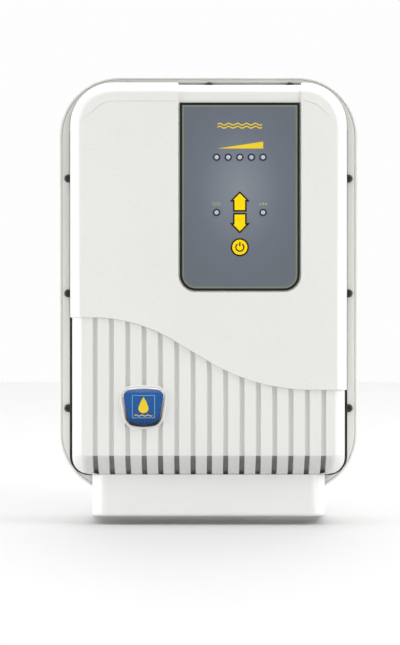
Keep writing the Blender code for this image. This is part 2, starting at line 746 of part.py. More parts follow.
def build_terminal_skirt():
    outer = skirt_plan(0)
    inner = skirt_plan(WALL)
    wall = outer + list(reversed(inner))
    skirt = extruded("terminal_skirt", [wall], SKIRT_BOTTOM, SKIRT_TOP, axis="Z")
    clear = 0.0006
    under_flange = -(FLANGE_HALF_HEIGHT + clear)
    notches = [
        ((-0.12, COVER_BACK - clear, under_flange), (0.12, FLANGE_BACK + clear, -0.15)),
        ((-0.12, FLANGE_BACK, TUB_FLOOR_Z - clear), (0.12, 0, -0.15)),
    ]
    for low, high in notches:
        boolean(skirt, "DIFFERENCE", block("flange_notch", low, high))
    for side in (-1, 1):
        near, far = side * 0.078, side * (SKIRT_HALF_WIDTH - WALL / 2)
        low = (min(near, far), SKIRT_SCREW_Y - 0.008, TUB_FLOOR_Z - 0.0036)
        high = (max(near, far), SKIRT_SCREW_Y + 0.008, TUB_FLOOR_Z - clear)
        boolean(skirt, "UNION", block("skirt_tab", low, high))
    holes = [circle(side * SKIRT_SCREW_X, SKIRT_SCREW_Y, 0.0022, 10) for side in (-1, 1)]
    boolean(skirt, "DIFFERENCE", extruded("tab_holes", holes, -0.18, -0.16, axis="Z"))
    finish_piece(skirt, WHITE_PLASTIC)
    for side, word in ((-1, "left"), (1, "right")):
        place = (side * SKIRT_SCREW_X, SKIRT_SCREW_Y, TUB_FLOOR_Z - 0.0036 - GAP)
        build_screw(f"skirt_screw_{word}", place, 0.012, axis="Z", flip=True)


# Control panel


def light_places():
    """Name and (x, z) of each light."""
    places = {
        f"level_light_{i + 1}": (PANEL_X + (i - 2) * LIGHT_PITCH, LIGHT_ROW_Z) for i in range(5)
    }
    places["flow_light"] = (PANEL_X - SIDE_LIGHT_X, SIDE_LIGHT_Z)
    places["salt_light"] = (PANEL_X + SIDE_LIGHT_X, SIDE_LIGHT_Z)
    return places


def build_overlay():
    key_gap = 0.00035
    holes = [circle(x, z, LIGHT_RADIUS + 0.0004, 12) for x, z in light_places().values()]
    holes.append(arrow_outline(UP_ARROW_BASE_Z, 1, key_gap))
    holes.append(arrow_outline(DOWN_ARROW_BASE_Z, -1, key_gap))
    holes.append(circle(KEY_X, POWER_Z, POWER_RADIUS + key_gap, 24))
    overlay = extruded("control_overlay", [panel_outline(0), *holes], OVERLAY_FRONT, OVERLAY_BACK)
    finish_piece(overlay, OVERLAY_GREY)


def build_key(name, outline, plate, stem_z):
    """A key cap with a wider plate behind the overlay and a stem to its switch."""
    travel_axis = (KEY_X, KEY_FRONT, stem_z)
    key = extruded(name, [outline], KEY_FRONT, KEY_PLATE_FRONT + GAP)
    boolean(key, "UNION", extruded("key_plate", [plate], KEY_PLATE_FRONT, KEY_PLATE_BACK))
    stem = circle(KEY_X, stem_z, 0.002, 12)
    boolean(key, "UNION", extruded("key_stem", [stem], KEY_PLATE_BACK - GAP, KEY_STEM_BACK))
    place_origin(key, travel_axis)
    finish_piece(key, KEY_YELLOW)


def place_origin(obj, place):
    """Moves an object's own origin to a point on its joint's axis, leaving its shape in place."""
    shift = obj.matrix_world.inverted() @ Vector(place)
    for vert in obj.data.vertices:
        vert.co -= shift
    obj.location = place


def build_keys():
    margin = 0.0009
    low_x, high_x = KEY_X - ARROW_HALF_WIDTH - margin, KEY_X + ARROW_HALF_WIDTH + margin
    up_top = UP_ARROW_BASE_Z + ARROW_HEIGHT + margin
    down_low = DOWN_ARROW_BASE_Z - ARROW_HEIGHT - margin
    rim = 0.0006
    up_plate = box_outline(low_x, high_x, UP_ARROW_BASE_Z - rim, up_top)
    down_plate = box_outline(low_x, high_x, down_low, DOWN_ARROW_BASE_Z + rim)
    power_plate = circle(KEY_X, POWER_Z, POWER_RADIUS + margin, 24)
    up_z = UP_ARROW_BASE_Z + ARROW_HEIGHT / 2
    down_z = DOWN_ARROW_BASE_Z - ARROW_HEIGHT / 2
    build_key("up_key", arrow_outline(UP_ARROW_BASE_Z, 1), up_plate, up_z)
    build_key("down_key", arrow_outline(DOWN_ARROW_BASE_Z, -1), down_plate, down_z)
    build_key("power_key", circle(KEY_X, POWER_Z, POWER_RADIUS, 24), power_plate, POWER_Z)
    for name, z in (("up_switch", up_z), ("down_switch", down_z), ("power_switch", POWER_Z)):
        low = (KEY_X - 0.003, SWITCH_FRONT, z - 0.003)
        high = (KEY_X + 0.003, BOARD_FRONT - GAP, z + 0.003)
        finish_piece(block(name, low, high), BLACK_PLASTIC)


def build_lights():
    height = -OVERLAY_FRONT + 0.0009 + BOARD_FRONT - GAP
    shoulder = height - LIGHT_RADIUS * 0.75
    profile = [
        (0, height),
        (LIGHT_RADIUS * 0.6, height - LIGHT_RADIUS * 0.2),
        (LIGHT_RADIUS, shoulder),
        (LIGHT_RADIUS, 0.0012),
        (LIGHT_RADIUS + 0.0006, 0.0010),
        (LIGHT_RADIUS + 0.0006, 0),
        (0, 0),
    ]
    for name, (x, z) in light_places().items():
        light = turned(name, profile, (x, BOARD_FRONT - GAP, z), steps=10)
        finish_piece(light, LENS)


def build_control_board():
    outline = rounded_box(
        PANEL_X - BOARD_HALF_WIDTH, PANEL_X + BOARD_HALF_WIDTH, BOARD_BOTTOM, BOARD_TOP, 0.002, 0.002,
        steps=2,
    )
    places = [(PANEL_X + side * BOARD_SCREW_X, BOARD_SCREW_Z) for side in (-1, 1)]
    holes = [circle(x, z, 0.0019, 10) for x, z in places]
    board = extruded("control_board", [outline, *holes], BOARD_FRONT, BOARD_BACK)
    finish_piece(board, BOARD_GREEN)
    for word, (x, z) in zip(("left", "right"), places):
        name = f"control_board_screw_{word}"
        build_screw(name, (x, BOARD_BACK + GAP, z), 0.0075, flip=True, head=0.0030)


def build_badge():
    rim = [shield_outline(0), shield_outline(-BADGE_RIM)]
    finish_piece(extruded("badge_rim", rim, BADGE_RIM_FRONT, BADGE_BACK), CHROME)
    plate = extruded(
        "badge_plate", [shield_outline(-BADGE_RIM - GAP)], BADGE_PLATE_FRONT, BADGE_BACK
    )
    finish_piece(plate, ENAMEL_BLUE)


# Sealed compartment


def build_power_board():
    outline = box_outline(-0.004, 0.108, -0.042, 0.122)
    holes = [circle(x, z, 0.0019, 10) for x, z in power_board_posts()]
    board = extruded("power_board", [outline, *holes], POWER_BOARD_FRONT, POWER_BOARD_BACK)
    finish_piece(board, BOARD_GREEN)
    posts = power_board_posts()
    for word, (x, z) in (("upper", posts[1]), ("lower", posts[2])):
        place = (x, POWER_BOARD_FRONT - GAP, z)
        build_screw(f"power_board_screw_{word}", place, 0.0095, head=0.0030)
    on_board = POWER_BOARD_FRONT - GAP
    relay = block("polarity_relay", (0.064, -0.034, 0.030), (0.092, on_board, 0.058))
    finish_piece(relay, RELAY_BLUE)
    terminals = block("terminal_block", (0.022, -0.032, -0.036), (0.082, on_board, -0.022))
    finish_piece(terminals, TERMINAL_GREEN)
    length = 0.034
    profile = [(0, length), (0.0085, length), (0.009, length - 0.001), (0.009, 0), (0, 0)]
    for i, z in enumerate((0.094, 0.072), start=1):
        can = turned(f"capacitor_{i}", profile, (0.072, on_board, z))
        finish_piece(can, BLACK_PLASTIC)


def build_transformer():
    depth = COIL_BACK - COIL_FRONT
    crown = 0.010
    outer = arc(COIL_RADIUS - crown, depth - crown, crown, 90, 0, 2)
    outer += arc(COIL_RADIUS - crown, crown, crown, 0, -90, 2)
    inner = arc(COIL_HOLE_RADIUS + crown, crown, crown, -90, -180, 2)
    inner += arc(COIL_HOLE_RADIUS + crown, depth - crown, crown, 180, 90, 2)
    place = (COIL_X, COIL_BACK, COIL_Z)
    coil = turned("transformer_coil", outer + inner, place, steps=24, ring=True)
    finish_piece(coil, COIL_YELLOW)

    dish_back = COIL_FRONT - GAP
    dish = [(0.030, 0.002), (0.034, 0), (0.0034, 0), (0.0034, 0.002)]
    piece = turned("transformer_dish", dish, (COIL_X, dish_back, COIL_Z), ring=True)
    finish_piece(piece, BRIGHT_STEEL)
    bolt = pan_head_profile(0.0055, 0.0032, 0.0029, 0.040)
    seat = (COIL_X, dish_back - 0.002 - GAP, COIL_Z)
    finish_piece(turned("transformer_bolt", bolt, seat), BRIGHT_STEEL)


def build_heat_sink():
    base_back, base_front = TUB_BACK - WALL - GAP, -0.0135
    sink = block("heat_sink", (0.040, base_front, -0.128), (0.100, base_back, -0.056))
    fins = []
    for i in range(6):
        x = 0.041 + i * 0.0112
        fins.append(((x, -0.040, -0.096), (x + 0.002, base_front + 0.001, -0.056)))
    boolean(sink, "UNION", blocks("fins", fins))
    finish_piece(sink, ALUMINIUM)
    bridge = block("bridge_rectifier", (0.056, -0.0215, -0.124), (0.084, base_front - GAP, -0.100))
    finish_piece(bridge, BLACK_PLASTIC)


def build_control_lead():
    """The lead from the control board through the lid's slot to the power board."""
    route = [
        (0.030, -0.1028, 0.090),
        (0.030, -0.096, 0.090),
        (0.030, -0.090, 0.084),
        (0.032, -0.084, 0.072),
        (0.034, -0.078, 0.058),
        (0.034, -0.070, 0.049),
        (0.034, -0.062, 0.046),
        (0.034, -0.050, 0.045),
        (0.033, -0.040, 0.040),
        (0.030, -0.030, 0.032),
        (0.030, -0.0182, 0.030),
    ]
    finish_piece(tube("control_lead", route, 0.0022), BLACK_PLASTIC)


# Entries under the unit


def build_gland(name, x):
    """A cable gland: neck through the floor, hexagon under it, domed nut and a bore all the way."""
    seat = TUB_FLOOR_Z - GAP
    hexagon = [arc(x, ENTRY_Y, 0.0125, 0, 360, 6)[:-1], circle(x, ENTRY_Y, GLAND_BORE_RADIUS)]
    gland = extruded(name, hexagon, seat - 0.005, seat, axis="Z")
    bore = GLAND_BORE_RADIUS
    neck = [
        (GLAND_NECK_RADIUS, 0.009),
        (GLAND_NECK_RADIUS, -0.001),
        (bore + 0.0004, -0.001),
        (bore + 0.0004, 0.009),
    ]
    boolean(gland, "UNION", turned("neck", neck, (x, ENTRY_Y, seat), axis="Z", ring=True))
    nut = [
        (0.0105, -0.004),
        (0.0105, -0.010),
        (0.0080, -0.014),
        (bore + 0.0004, -0.014),
        (bore + 0.0004, -0.004),
    ]
    boolean(gland, "UNION", turned("nut", nut, (x, ENTRY_Y, seat), axis="Z", ring=True))
    finish_piece(gland, GREY_PLASTIC)


def build_fuse():
    seat = TUB_FLOOR_Z - GAP
    bore = 0.0046
    holder = [
        (0.0064, 0.030),
        (0.0064, 0.0),
        (0.0090, 0.0),
        (0.0090, -0.003),
        (bore, -0.003),
        (bore, 0.028),
        (0.0010, 0.028),
        (0.0010, 0.030),
    ]
    place = (FUSE_X, ENTRY_Y, seat)
    finish_piece(turned("fuse_holder", holder, place, axis="Z", ring=True), BLACK_PLASTIC)
    top = -0.003 - GAP
    plug = [
        (0, 0.022),
        (0.0040, 0.022),
        (0.0040, top),
        (0.0078, top),
        (0.0078, top - 0.004),
        (0.0070, top - 0.005),
        (0, top - 0.005),
    ]
    cap = turned("fuse_cap", plug, place, axis="Z")
    grip_top = top - 0.0045
    grip = block("grip", (-0.0012, -0.0065, grip_top - 0.0035), (0.0012, 0.0065, grip_top))
    grip.location = place
    boolean(cap, "UNION", grip)
    finish_piece(cap, BLACK_PLASTIC)


clear_scene()
parts = new_collection(COLLECTION)
tools = new_collection("tools")
tools.hide_render = True
build_wall_bracket()
build_rear_housing()
build_gasket()
build_lid_plate()
build_lid_screws()
build_upper_cover()
build_ribbed_cover()
build_cover_screws()
build_terminal_skirt()
build_overlay()
build_keys()
build_lights()
build_control_board()
build_badge()
build_power_board()
build_transformer()
build_heat_sink()
build_control_lead()
for gland_name, gland_x in (("mains_gland", MAINS_X), ("cell_gland", CELL_X), ("sensor_gland", SENSOR_X)):
    build_gland(gland_name, gland_x)
build_fuse()
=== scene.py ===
"""Looks of a salt chlorine generator's control unit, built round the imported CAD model.

Metres, +Z up. The wall is the plane Y = 0 and the unit faces -Y, as in the CAD frame.
"""

import json
import math

import bmesh
import bpy
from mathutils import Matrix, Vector


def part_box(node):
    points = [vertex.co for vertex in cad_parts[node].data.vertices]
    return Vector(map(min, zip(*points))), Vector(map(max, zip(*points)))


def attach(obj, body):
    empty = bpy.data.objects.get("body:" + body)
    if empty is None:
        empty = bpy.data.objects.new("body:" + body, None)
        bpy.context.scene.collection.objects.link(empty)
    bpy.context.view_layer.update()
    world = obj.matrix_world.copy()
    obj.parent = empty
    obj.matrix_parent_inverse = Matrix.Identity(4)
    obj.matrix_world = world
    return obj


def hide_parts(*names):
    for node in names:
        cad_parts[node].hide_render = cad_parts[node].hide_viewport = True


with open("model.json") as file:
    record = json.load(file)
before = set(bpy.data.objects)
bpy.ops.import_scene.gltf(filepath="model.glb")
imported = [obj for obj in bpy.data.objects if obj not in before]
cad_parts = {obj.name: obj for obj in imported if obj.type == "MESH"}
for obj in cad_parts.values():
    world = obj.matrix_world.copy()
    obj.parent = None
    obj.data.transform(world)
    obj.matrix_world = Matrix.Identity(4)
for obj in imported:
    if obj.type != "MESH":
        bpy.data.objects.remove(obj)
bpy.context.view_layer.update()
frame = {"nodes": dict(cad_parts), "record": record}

# Places that come from the CAD nodes
housing_low, housing_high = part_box("rear_housing")
cover_low, cover_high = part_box("upper_cover")
ribbed_low, ribbed_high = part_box("ribbed_cover")
skirt_low, skirt_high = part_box("terminal_skirt")
overlay_low, overlay_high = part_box("control_overlay")
badge_low, badge_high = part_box("badge_rim")


def node_centres(*starts):
    """(x, z) of the middle of each CAD node whose name starts in one of these ways."""
    centres = {}
    for name in frame["nodes"]:
        if name.startswith(starts):
            low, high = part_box(name)
            centres[name] = ((low.x + high.x) / 2, (low.z + high.z) / 2)
    return centres


LID_SCREWS = node_centres("lid_screw_")
LIGHTS = node_centres("level_light_", "flow_light", "salt_light")

# Housing, lid and bracket
FLANGE_HALF_WIDTH = housing_high.x
FLANGE_HALF_HEIGHT = housing_high.z
FLANGE_CORNER = 0.052
TUB_INSET = 0.012
WALL = 0.003
TUB_BACK = housing_high.y
FLANGE_BACK = -0.049
FLANGE_FRONT = -0.058
LIP_FRONT = housing_low.y
LID_BACK = -0.0603
LID_FRONT = -0.0633
TUB_FLOOR_Z = -(FLANGE_HALF_HEIGHT - TUB_INSET)
MOAT_FLOOR = -0.0614
RIM_FRONT = -0.072
HOOK_X = 0.055
POST_X = 0.104
POST_HALF_WIDTH = 0.004
POST_BACK = -0.0636

# Covers
COVER_HALF_WIDTH = cover_high.x
COVER_TOP = cover_high.z
COVER_FRONT = cover_low.y
COVER_BOTTOM = ribbed_low.z
COVER_BACK = -0.0668
COVER_CORNER = 0.0375
COVER_EDGE = 0.0087
SHOULDER_POWER = 1.45
CREASE_INSET = 0.0076
CREASE_DROP = 0.0007
LIP_RADIUS = 0.0008
RIBBED_HALF_WIDTH = ribbed_high.x
RIBBED_FRONT = -0.113
RIBBED_CORNER = 0.015
RIBBED_WALL = 0.004
BAND_WALL = 0.0095
FOLD_Z = -0.1485
FOLD_BACK = -0.096
FOLD_START = math.radians(30)
FOLD_END = math.radians(62)

# Wave between the covers
WAVE_START_X = -0.1016
WAVE_START_Z = -0.0286
WAVE_FIRST_RADIUS = 0.1376
WAVE_SECOND_RADIUS = 0.1739
WAVE_STRAIGHT = 0.0359
WAVE_ANGLE = math.radians(31)
WAVE_GAP = 0.0001
WAVE_FOOT_Z = FOLD_Z + 0.0008

# Grooves
GROOVES = 15
GROOVE_PITCH = 0.01418
GROOVE_FIRST_X = -0.0985
GROOVE_HALF_WIDTH = 0.0022
GROOVE_LIP = 0.0004
GROOVE_DEPTH = 0.0024
BAND_GROOVE_DEPTH = 0.0070
BAND_LEAN = 0.011
# Half width of the ribbed cover's painted shade, which leaves its rounded sides alone.
PAINTED_SHADE_HALF_WIDTH = 0.106

# Control panel
PANEL_X = (overlay_low.x + overlay_high.x) / 2
PANEL_HALF_WIDTH = (overlay_high.x - overlay_low.x) / 2
PANEL_TOP = overlay_high.z
PANEL_BOTTOM = overlay_low.z
PANEL_CORNER = 0.014
PANEL_MARGIN = 0.0012
RECESS_DEPTH = 0.0022
OVERLAY_BACK = overlay_high.y
OVERLAY_FRONT = overlay_low.y
PRINT_THICKNESS = 0.00006
BORDER_WIDTH = 0.0022
LINE_WIDTH = 0.0015
GLOW_Z = 0.083
GLOW_HALF_WIDTH = 0.056
GLOW_HALF_HEIGHT = 0.084
LIGHT_RADIUS = 0.0022
LIGHT_RING_RADIUS = 0.00318
KEY_FRONT = -0.1146
KEY_BORDER = 0.00095
ARROW_HALF_WIDTH = 0.00805
ARROW_STEM_HALF_WIDTH = 0.0055
ARROW_HEIGHT = 0.0168
ARROW_HEAD = 0.0082
ARROW_NOTCH = 0.00015
UP_ARROW_BASE_Z = 0.06387
DOWN_ARROW_BASE_Z = 0.06186
POWER_Z = 0.0325
POWER_RADIUS = 0.0075

# Badge
BADGE_X = (badge_low.x + badge_high.x) / 2
BADGE_Z = (badge_low.z + badge_high.z) / 2
BADGE_HALF_WIDTH = (badge_high.x - badge_low.x) / 2
BADGE_HALF_HEIGHT = (badge_high.z - badge_low.z) / 2
BADGE_SOCKET_FRONT = -0.1142
BADGE_BACK = badge_high.y
BADGE_FRONT = badge_low.y

# Entries and screws under the unit
ENTRY_Y = -0.030
ENTRIES = {"mains_gland": -0.062, "cell_gland": -0.026, "sensor_gland": 0.010}
FUSE_X = 0.046
COVER_SCREW_X = 0.070
COVER_SCREW_Y = -0.076
SKIRT_SCREW_X = 0.0845

# Transformer's wound core
CORE_X = -0.050
CORE_Z = -0.085
WINDING_TURNS = 30.0

SCREW_HEAD_RADIUS = 0.0035
SCREW_HEAD_HEIGHT = 0.0024
SCREW_WAY_RADIUS = 0.0022


# Outlines in the XZ plane, as lists of points


def arc(x, z, radius, start, end, steps):
    """Points on a circle from one angle to the other, in degrees, both ends included."""
    angles = [math.radians(start + (end - start) * i / steps) for i in range(steps + 1)]
    return [(x + radius * math.cos(a), z + radius * math.sin(a)) for a in angles]


def circle(x, z, radius, steps=48):
    return arc(x, z, radius, 0, 360, steps)[:-1]


def shoulder(radius, start, end, steps=12):
    """A rounded chamfer about its centre: flatter in the middle and rounder at its ends than an arc."""
    points = []
    for a, b in arc(0, 0, 1, start, end, steps):
        across = math.copysign(abs(a) ** SHOULDER_POWER, a)
        along = math.copysign(abs(b) ** SHOULDER_POWER, b)
        points.append((radius * across, radius * along))
    return points


def rim_points(low_x, high_x, low_z, high_z, low_radius, high_radius, steps=14):
    """Points round a rounded box, each with its outward direction."""
    corners = (
        (high_x - low_radius, low_z + low_radius, -90, low_radius),
        (high_x - high_radius, high_z - high_radius, 0, high_radius),
        (low_x + high_radius, high_z - high_radius, 90, high_radius),
        (low_x + low_radius, low_z + low_radius, 180, low_radius),
    )
    points = []
    for x, z, start, radius in corners:
        places = arc(x, z, radius, start, start + 90, steps)
        ways = arc(0, 0, 1, start, start + 90, steps)
        points += list(zip(places, ways))
    return points


def rounded_box(low_x, high_x, low_z, high_z, low_radius, high_radius, steps=14):
    if high_radius == 0:
        foot = arc(high_x - low_radius, low_z + low_radius, low_radius, -90, 0, steps)
        other = arc(low_x + low_radius, low_z + low_radius, low_radius, 180, 270, steps)
        return foot + [(high_x, high_z), (low_x, high_z)] + other
    return [p for p, _ in rim_points(low_x, high_x, low_z, high_z, low_radius, high_radius, steps)]


def box_outline(low_x, high_x, low_z, high_z):
    return [(low_x, low_z), (high_x, low_z), (high_x, high_z), (low_x, high_z)]


def flange_outline(inset):
    half_width = FLANGE_HALF_WIDTH - inset
    half_height = FLANGE_HALF_HEIGHT - inset
    radius = FLANGE_CORNER - inset
    return rounded_box(-half_width, half_width, -half_height, half_height, radius, radius, 18)


def offset(outline, distance):
    """The outline moved outwards by a distance, or inwards by a negative one, with sharp corners."""
    count = len(outline)
    pairs = [(outline[i], outline[(i + 1) % count]) for i in range(count)]
    area = sum(a[0] * b[1] - b[0] * a[1] for a, b in pairs)
    side = distance if area > 0 else -distance
    moved = []
    for (ax, az), (bx, bz) in pairs:
        length = math.hypot(bx - ax, bz - az)
        across = ((bz - az) / length * side, (ax - bx) / length * side)
        moved.append((ax + across[0], az + across[1], bx - ax, bz - az))
    points = []
    for i in range(count):
        px, pz, pu, pv = moved[i - 1]
        qx, qz, qu, qv = moved[i]
        cross = pu * qv - pv * qu
        if abs(cross) < 1e-12:
            points.append((qx, qz))
            continue
        t = ((qx - px) * qv - (qz - pz) * qu) / cross
        points.append((px + t * pu, pz + t * pv))
    return points


def wave_outline():
    """The wave from left to right: a bend down, a straight slope and a bend back to level."""
    bend = math.degrees(WAVE_ANGLE)
    first_centre = (WAVE_START_X, WAVE_START_Z - WAVE_FIRST_RADIUS)
    first = arc(*first_centre, WAVE_FIRST_RADIUS, 90, 90 - bend, 16)
    slope_x = first[-1][0] + WAVE_STRAIGHT * math.cos(WAVE_ANGLE)
    slope_z = first[-1][1] - WAVE_STRAIGHT * math.sin(WAVE_ANGLE)
    second_x = slope_x + WAVE_SECOND_RADIUS * math.sin(WAVE_ANGLE)
    second_z = slope_z + WAVE_SECOND_RADIUS * math.cos(WAVE_ANGLE)
    return first + arc(second_x, second_z, WAVE_SECOND_RADIUS, -90 - bend, -90, 16)


WAVE = wave_outline()


def wave_height(x):
    """The wave's height at x, level outside its two ends."""
    if x <= WAVE[0][0]:
        return WAVE[0][1]
    for (ax, az), (bx, bz) in zip(WAVE, WAVE[1:]):
        if x <= bx:
            return az + (bz - az) * (x - ax) / (bx - ax)
    return WAVE[-1][1]


def shield_outline(grow):
    """A badge with rounded corners, a bowed top and foot and sides that taper downwards."""
    steps = 10
    top_half = BADGE_HALF_WIDTH + 0.0008 + grow
    foot_half = BADGE_HALF_WIDTH * 0.80 + grow
    top_bow = 0.0020
    foot_bow = 0.0046
    high = BADGE_HALF_HEIGHT + grow - top_bow
    low = -BADGE_HALF_HEIGHT - grow + foot_bow
    top_radius = 0.0064 + grow
    foot_radius = 0.0062 + grow
    lean = math.degrees(math.atan2(top_half - foot_half, high - low))
    corners = (
        (foot_half, low, 1, foot_radius, -90, -lean),
        (top_half, high, 1, top_radius, -lean, 90),
        (-top_half, high, -1, top_radius, 90, 180 + lean),
        (-foot_half, low, -1, foot_radius, 180 + lean, 270),
    )
    arcs = []
    for x, z, side, radius, start, end in corners:
        reach = radius * math.tan(math.radians(abs(end - start)) / 2)
        centre_z = z - math.copysign(radius, z)
        arcs.append(arc(x - side * reach, centre_z, radius, start, end, steps))
    shares = [1 - 2 * i / steps for i in range(1, steps)]
    crown = [((top_half - top_radius) * share, high) for share in shares]
    foot = [(-(foot_half - foot_radius) * share, low) for share in shares]
    points = arcs[0] + arcs[1] + crown + arcs[2] + arcs[3] + foot
    bowed = []
    for x, z in points:
        share = max(0.0, 1 - (x / top_half) ** 2)
        bow = top_bow * z / high if z > 0 else -foot_bow * z / low
        bowed.append((BADGE_X + x, BADGE_Z + z + bow * share))
    return bowed


def arrow_outline(base_z, direction):
    """An arrow from its stem's end at base_z, up for 1 and down for -1."""
    head_z = ARROW_HEIGHT - ARROW_HEAD
    right = [
        (ARROW_STEM_HALF_WIDTH, 0.0),
        (ARROW_STEM_HALF_WIDTH, head_z + ARROW_NOTCH),
        (ARROW_HALF_WIDTH, head_z),
    ]
    left = [(-x, z) for x, z in reversed(right)]
    points = right + [(0.0, ARROW_HEIGHT)] + left
    return [(PANEL_X + x, base_z + direction * z) for x, z in points]


def ribbon(start_x, end_x, z, height, waves, width):
    """A wavy line of even width."""
    steps = 12 * waves
    centre = []
    for i in range(steps + 1):
        turn = 2 * math.pi * waves * i / steps
        centre.append((start_x + (end_x - start_x) * i / steps, z + height * math.sin(turn)))
    upper = [(x, a + width / 2) for x, a in centre]
    lower = [(x, a - width / 2) for x, a in reversed(centre)]
    return lower[::-1] + upper[::-1]


def drop_outline(x, z, radius, height):
    """A water drop: a round foot and a point at the top."""
    foot = arc(x, z, radius, 200, 340, 20)
    right = []
    for i in range(1, 6):
        turn = math.radians(-20 + 40 * i / 6)
        right.append((x + radius * math.cos(turn) * (1 - 0.02 * i), z + radius * math.sin(turn)))
    neck, neck_z = radius * 0.48, z + radius * 1.25
    tip = [(x + neck, neck_z), (x, z + height), (x - neck, neck_z)]
    left = [(2 * x - a, b) for a, b in reversed(right)]
    return foot + right + tip + left


# Meshes


def add_object(name, data):
    obj = bpy.data.objects.new(name, data)
    bpy.context.scene.collection.objects.link(obj)
    return obj


def to_object(name, bm):
    """An object from a bmesh, with its faces turned outwards and doubles merged."""
    bmesh.ops.remove_doubles(bm, verts=bm.verts, dist=1e-7)
    bmesh.ops.recalc_face_normals(bm, faces=bm.faces)
    mesh = bpy.data.meshes.new(name)
    bm.to_mesh(mesh)
    bm.free()
    return add_object(name, mesh)


def loft(name, rings, closed=False):
    """Rings of points joined in order; the two ends are capped, or joined when closed."""
    bm = bmesh.new()
    made = [[bm.verts.new(p) for p in ring] for ring in rings]
    pairs = list(zip(made, made[1:]))
    if closed:
        pairs.append((made[-1], made[0]))
    for near, far in pairs:
        for i in range(len(near)):
            bm.faces.new((near[i - 1], near[i], far[i], far[i - 1]))
    if not closed:
        bm.faces.new(made[0])
        bm.faces.new(made[-1])
    return to_object(name, bm)


def sheet_pair(name, outer, inner):
    """A closed shell from two grids of points with the same rows and columns."""
    bm = bmesh.new()
    grids = [[[bm.verts.new(p) for p in row] for row in grid] for grid in (outer, inner)]
    rows, columns = len(outer) - 1, len(outer[0]) - 1
    for grid in grids:
        for i in range(rows):
            for j in range(columns):
                bm.faces.new((grid[i][j], grid[i][j + 1], grid[i + 1][j + 1], grid[i + 1][j]))
    front, back = grids
    for i in (0, rows):
        for j in range(columns):
            bm.faces.new((front[i][j], front[i][j + 1], back[i][j + 1], back[i][j]))
    for j in (0, columns):
        for i in range(rows):
            bm.faces.new((front[i][j], front[i + 1][j], back[i + 1][j], back[i][j]))
    return to_object(name, bm)


def ladder(name, layers):
    """A closed solid from layers of point pairs, each pair a rung between two rails."""
    rails = [[[rung[side] for rung in layer] for layer in layers] for side in (0, 1)]
    return sheet_pair(name, *rails)


AXES = {
    "Y": lambda a, b, c: (a, c, b),
    "Z": lambda a, b, c: (a, b, c),
    "X": lambda a, b, c: (c, a, b),
}


def plate(name, outlines, low, high, axis="Y"):
    """A flat outline, with any holes after it, carried along an axis from low to high."""
    curve = bpy.data.curves.new(name, "CURVE")
    curve.dimensions = "2D"
    curve.fill_mode = "BOTH"
    curve.extrude = 0.5
    for outline in outlines:
        spline = curve.splines.new("POLY")
        spline.points.add(len(outline) - 1)
        spline.use_cyclic_u = True
        for point, (a, b) in zip(spline.points, outline):
            point.co = (a, b, 0, 1)
    guide = add_object(name, curve)
    bpy.context.view_layer.update()
    solid = bpy.data.meshes.new_from_object(guide.evaluated_get(bpy.context.evaluated_depsgraph_get()))
    bm = bmesh.new()
    bm.from_mesh(solid)
    for vert in bm.verts:
        vert.co = AXES[axis](vert.co.x, vert.co.y, low + (high - low) * (vert.co.z + 0.5))
    bpy.data.objects.remove(guide, do_unlink=True)
    bpy.data.meshes.remove(solid)
    bmesh.ops.remove_doubles(bm, verts=bm.verts, dist=1e-6)
    bmesh.ops.dissolve_limit(bm, angle_limit=1e-3, verts=bm.verts, edges=bm.edges)
    return to_object(name, bm)


def flange_rings(section):
    """Rings round the flange, from (inset, y) pairs."""
    return [[(x, y, z) for x, z in flange_outline(inset)] for inset, y in section]


def button(name, outline, back, front, edge, steps=4):
    """A flat piece with a rounded front rim; its outline is in XZ."""
    rings = [[(x, back, z) for x, z in outline]]
    for i in range(steps + 1):
        turn = math.pi / 2 * i / steps
        y = front + edge * (1 - math.sin(turn))
        inner = offset(outline, -edge * (1 - math.cos(turn))) if i else outline
        rings.append([(x, y, z) for x, z in inner])
    return loft(name, rings)


def turned(name, profile, place, axis="Y", steps=48, ring=False):
    """A profile of (radius, height) points turned about its axis; heights run to -Y or to +Z."""
    rings = []
    for radius, height in profile:
        points = circle(0, 0, radius, steps)
        if axis == "Y":
            rings.append([(place[0] + a, place[1] - height, place[2] + b) for a, b in points])
        else:
            rings.append([(place[0] + a, place[1] + b, place[2] + height) for a, b in points])
    return loft(name, rings, closed=ring)


def block(name, low, high):
    bm = bmesh.new()
    bmesh.ops.create_cube(bm, size=1.0)
    for vert in bm.verts:
        vert.co = [a + (b - a) * (c + 0.5) for a, b, c in zip(low, high, vert.co)]
    return to_object(name, bm)


def carve(piece, operation, tool):
    """Cuts a tool out of a piece or joins it on, and removes the tool."""
    modifier = piece.modifiers.new("Carve", "BOOLEAN")
    modifier.operation = operation
    modifier.solver = "EXACT"
    modifier.object = tool
    bpy.context.view_layer.update()
    depsgraph = bpy.context.evaluated_depsgraph_get()
    mesh = bpy.data.meshes.new_from_object(piece.evaluated_get(depsgraph))
    piece.modifiers.clear()
    piece.data = mesh
    bpy.data.objects.remove(tool, do_unlink=True)


def cut(piece, tool):
    carve(piece, "DIFFERENCE", tool)


def join(piece, tool):
    carve(piece, "UNION", tool)


def bevelled(piece, width):
    """Rounds a piece's sharp edges."""
    bm = bmesh.new()
    bm.from_mesh(piece.data)
    sharp = math.radians(40)
    edges = [e for e in bm.edges if len(e.link_faces) == 2 and e.calc_face_angle(0) > sharp]
    bmesh.ops.bevel(
        bm, geom=edges, offset=width, segments=2, profile=0.5, affect="EDGES", clamp_overlap=True
    )
    bm.to_mesh(piece.data)
    bm.free()
    return piece


# Materials


def fill(owner, node, inputs):
    """Sets each named input of a node, or links it when it is given another node's output."""
    for name, value in inputs.items():
        if isinstance(value, bpy.types.NodeSocket):
            owner.node_tree.links.new(value, node.inputs[name])
        else:
            node.inputs[name].default_value = value


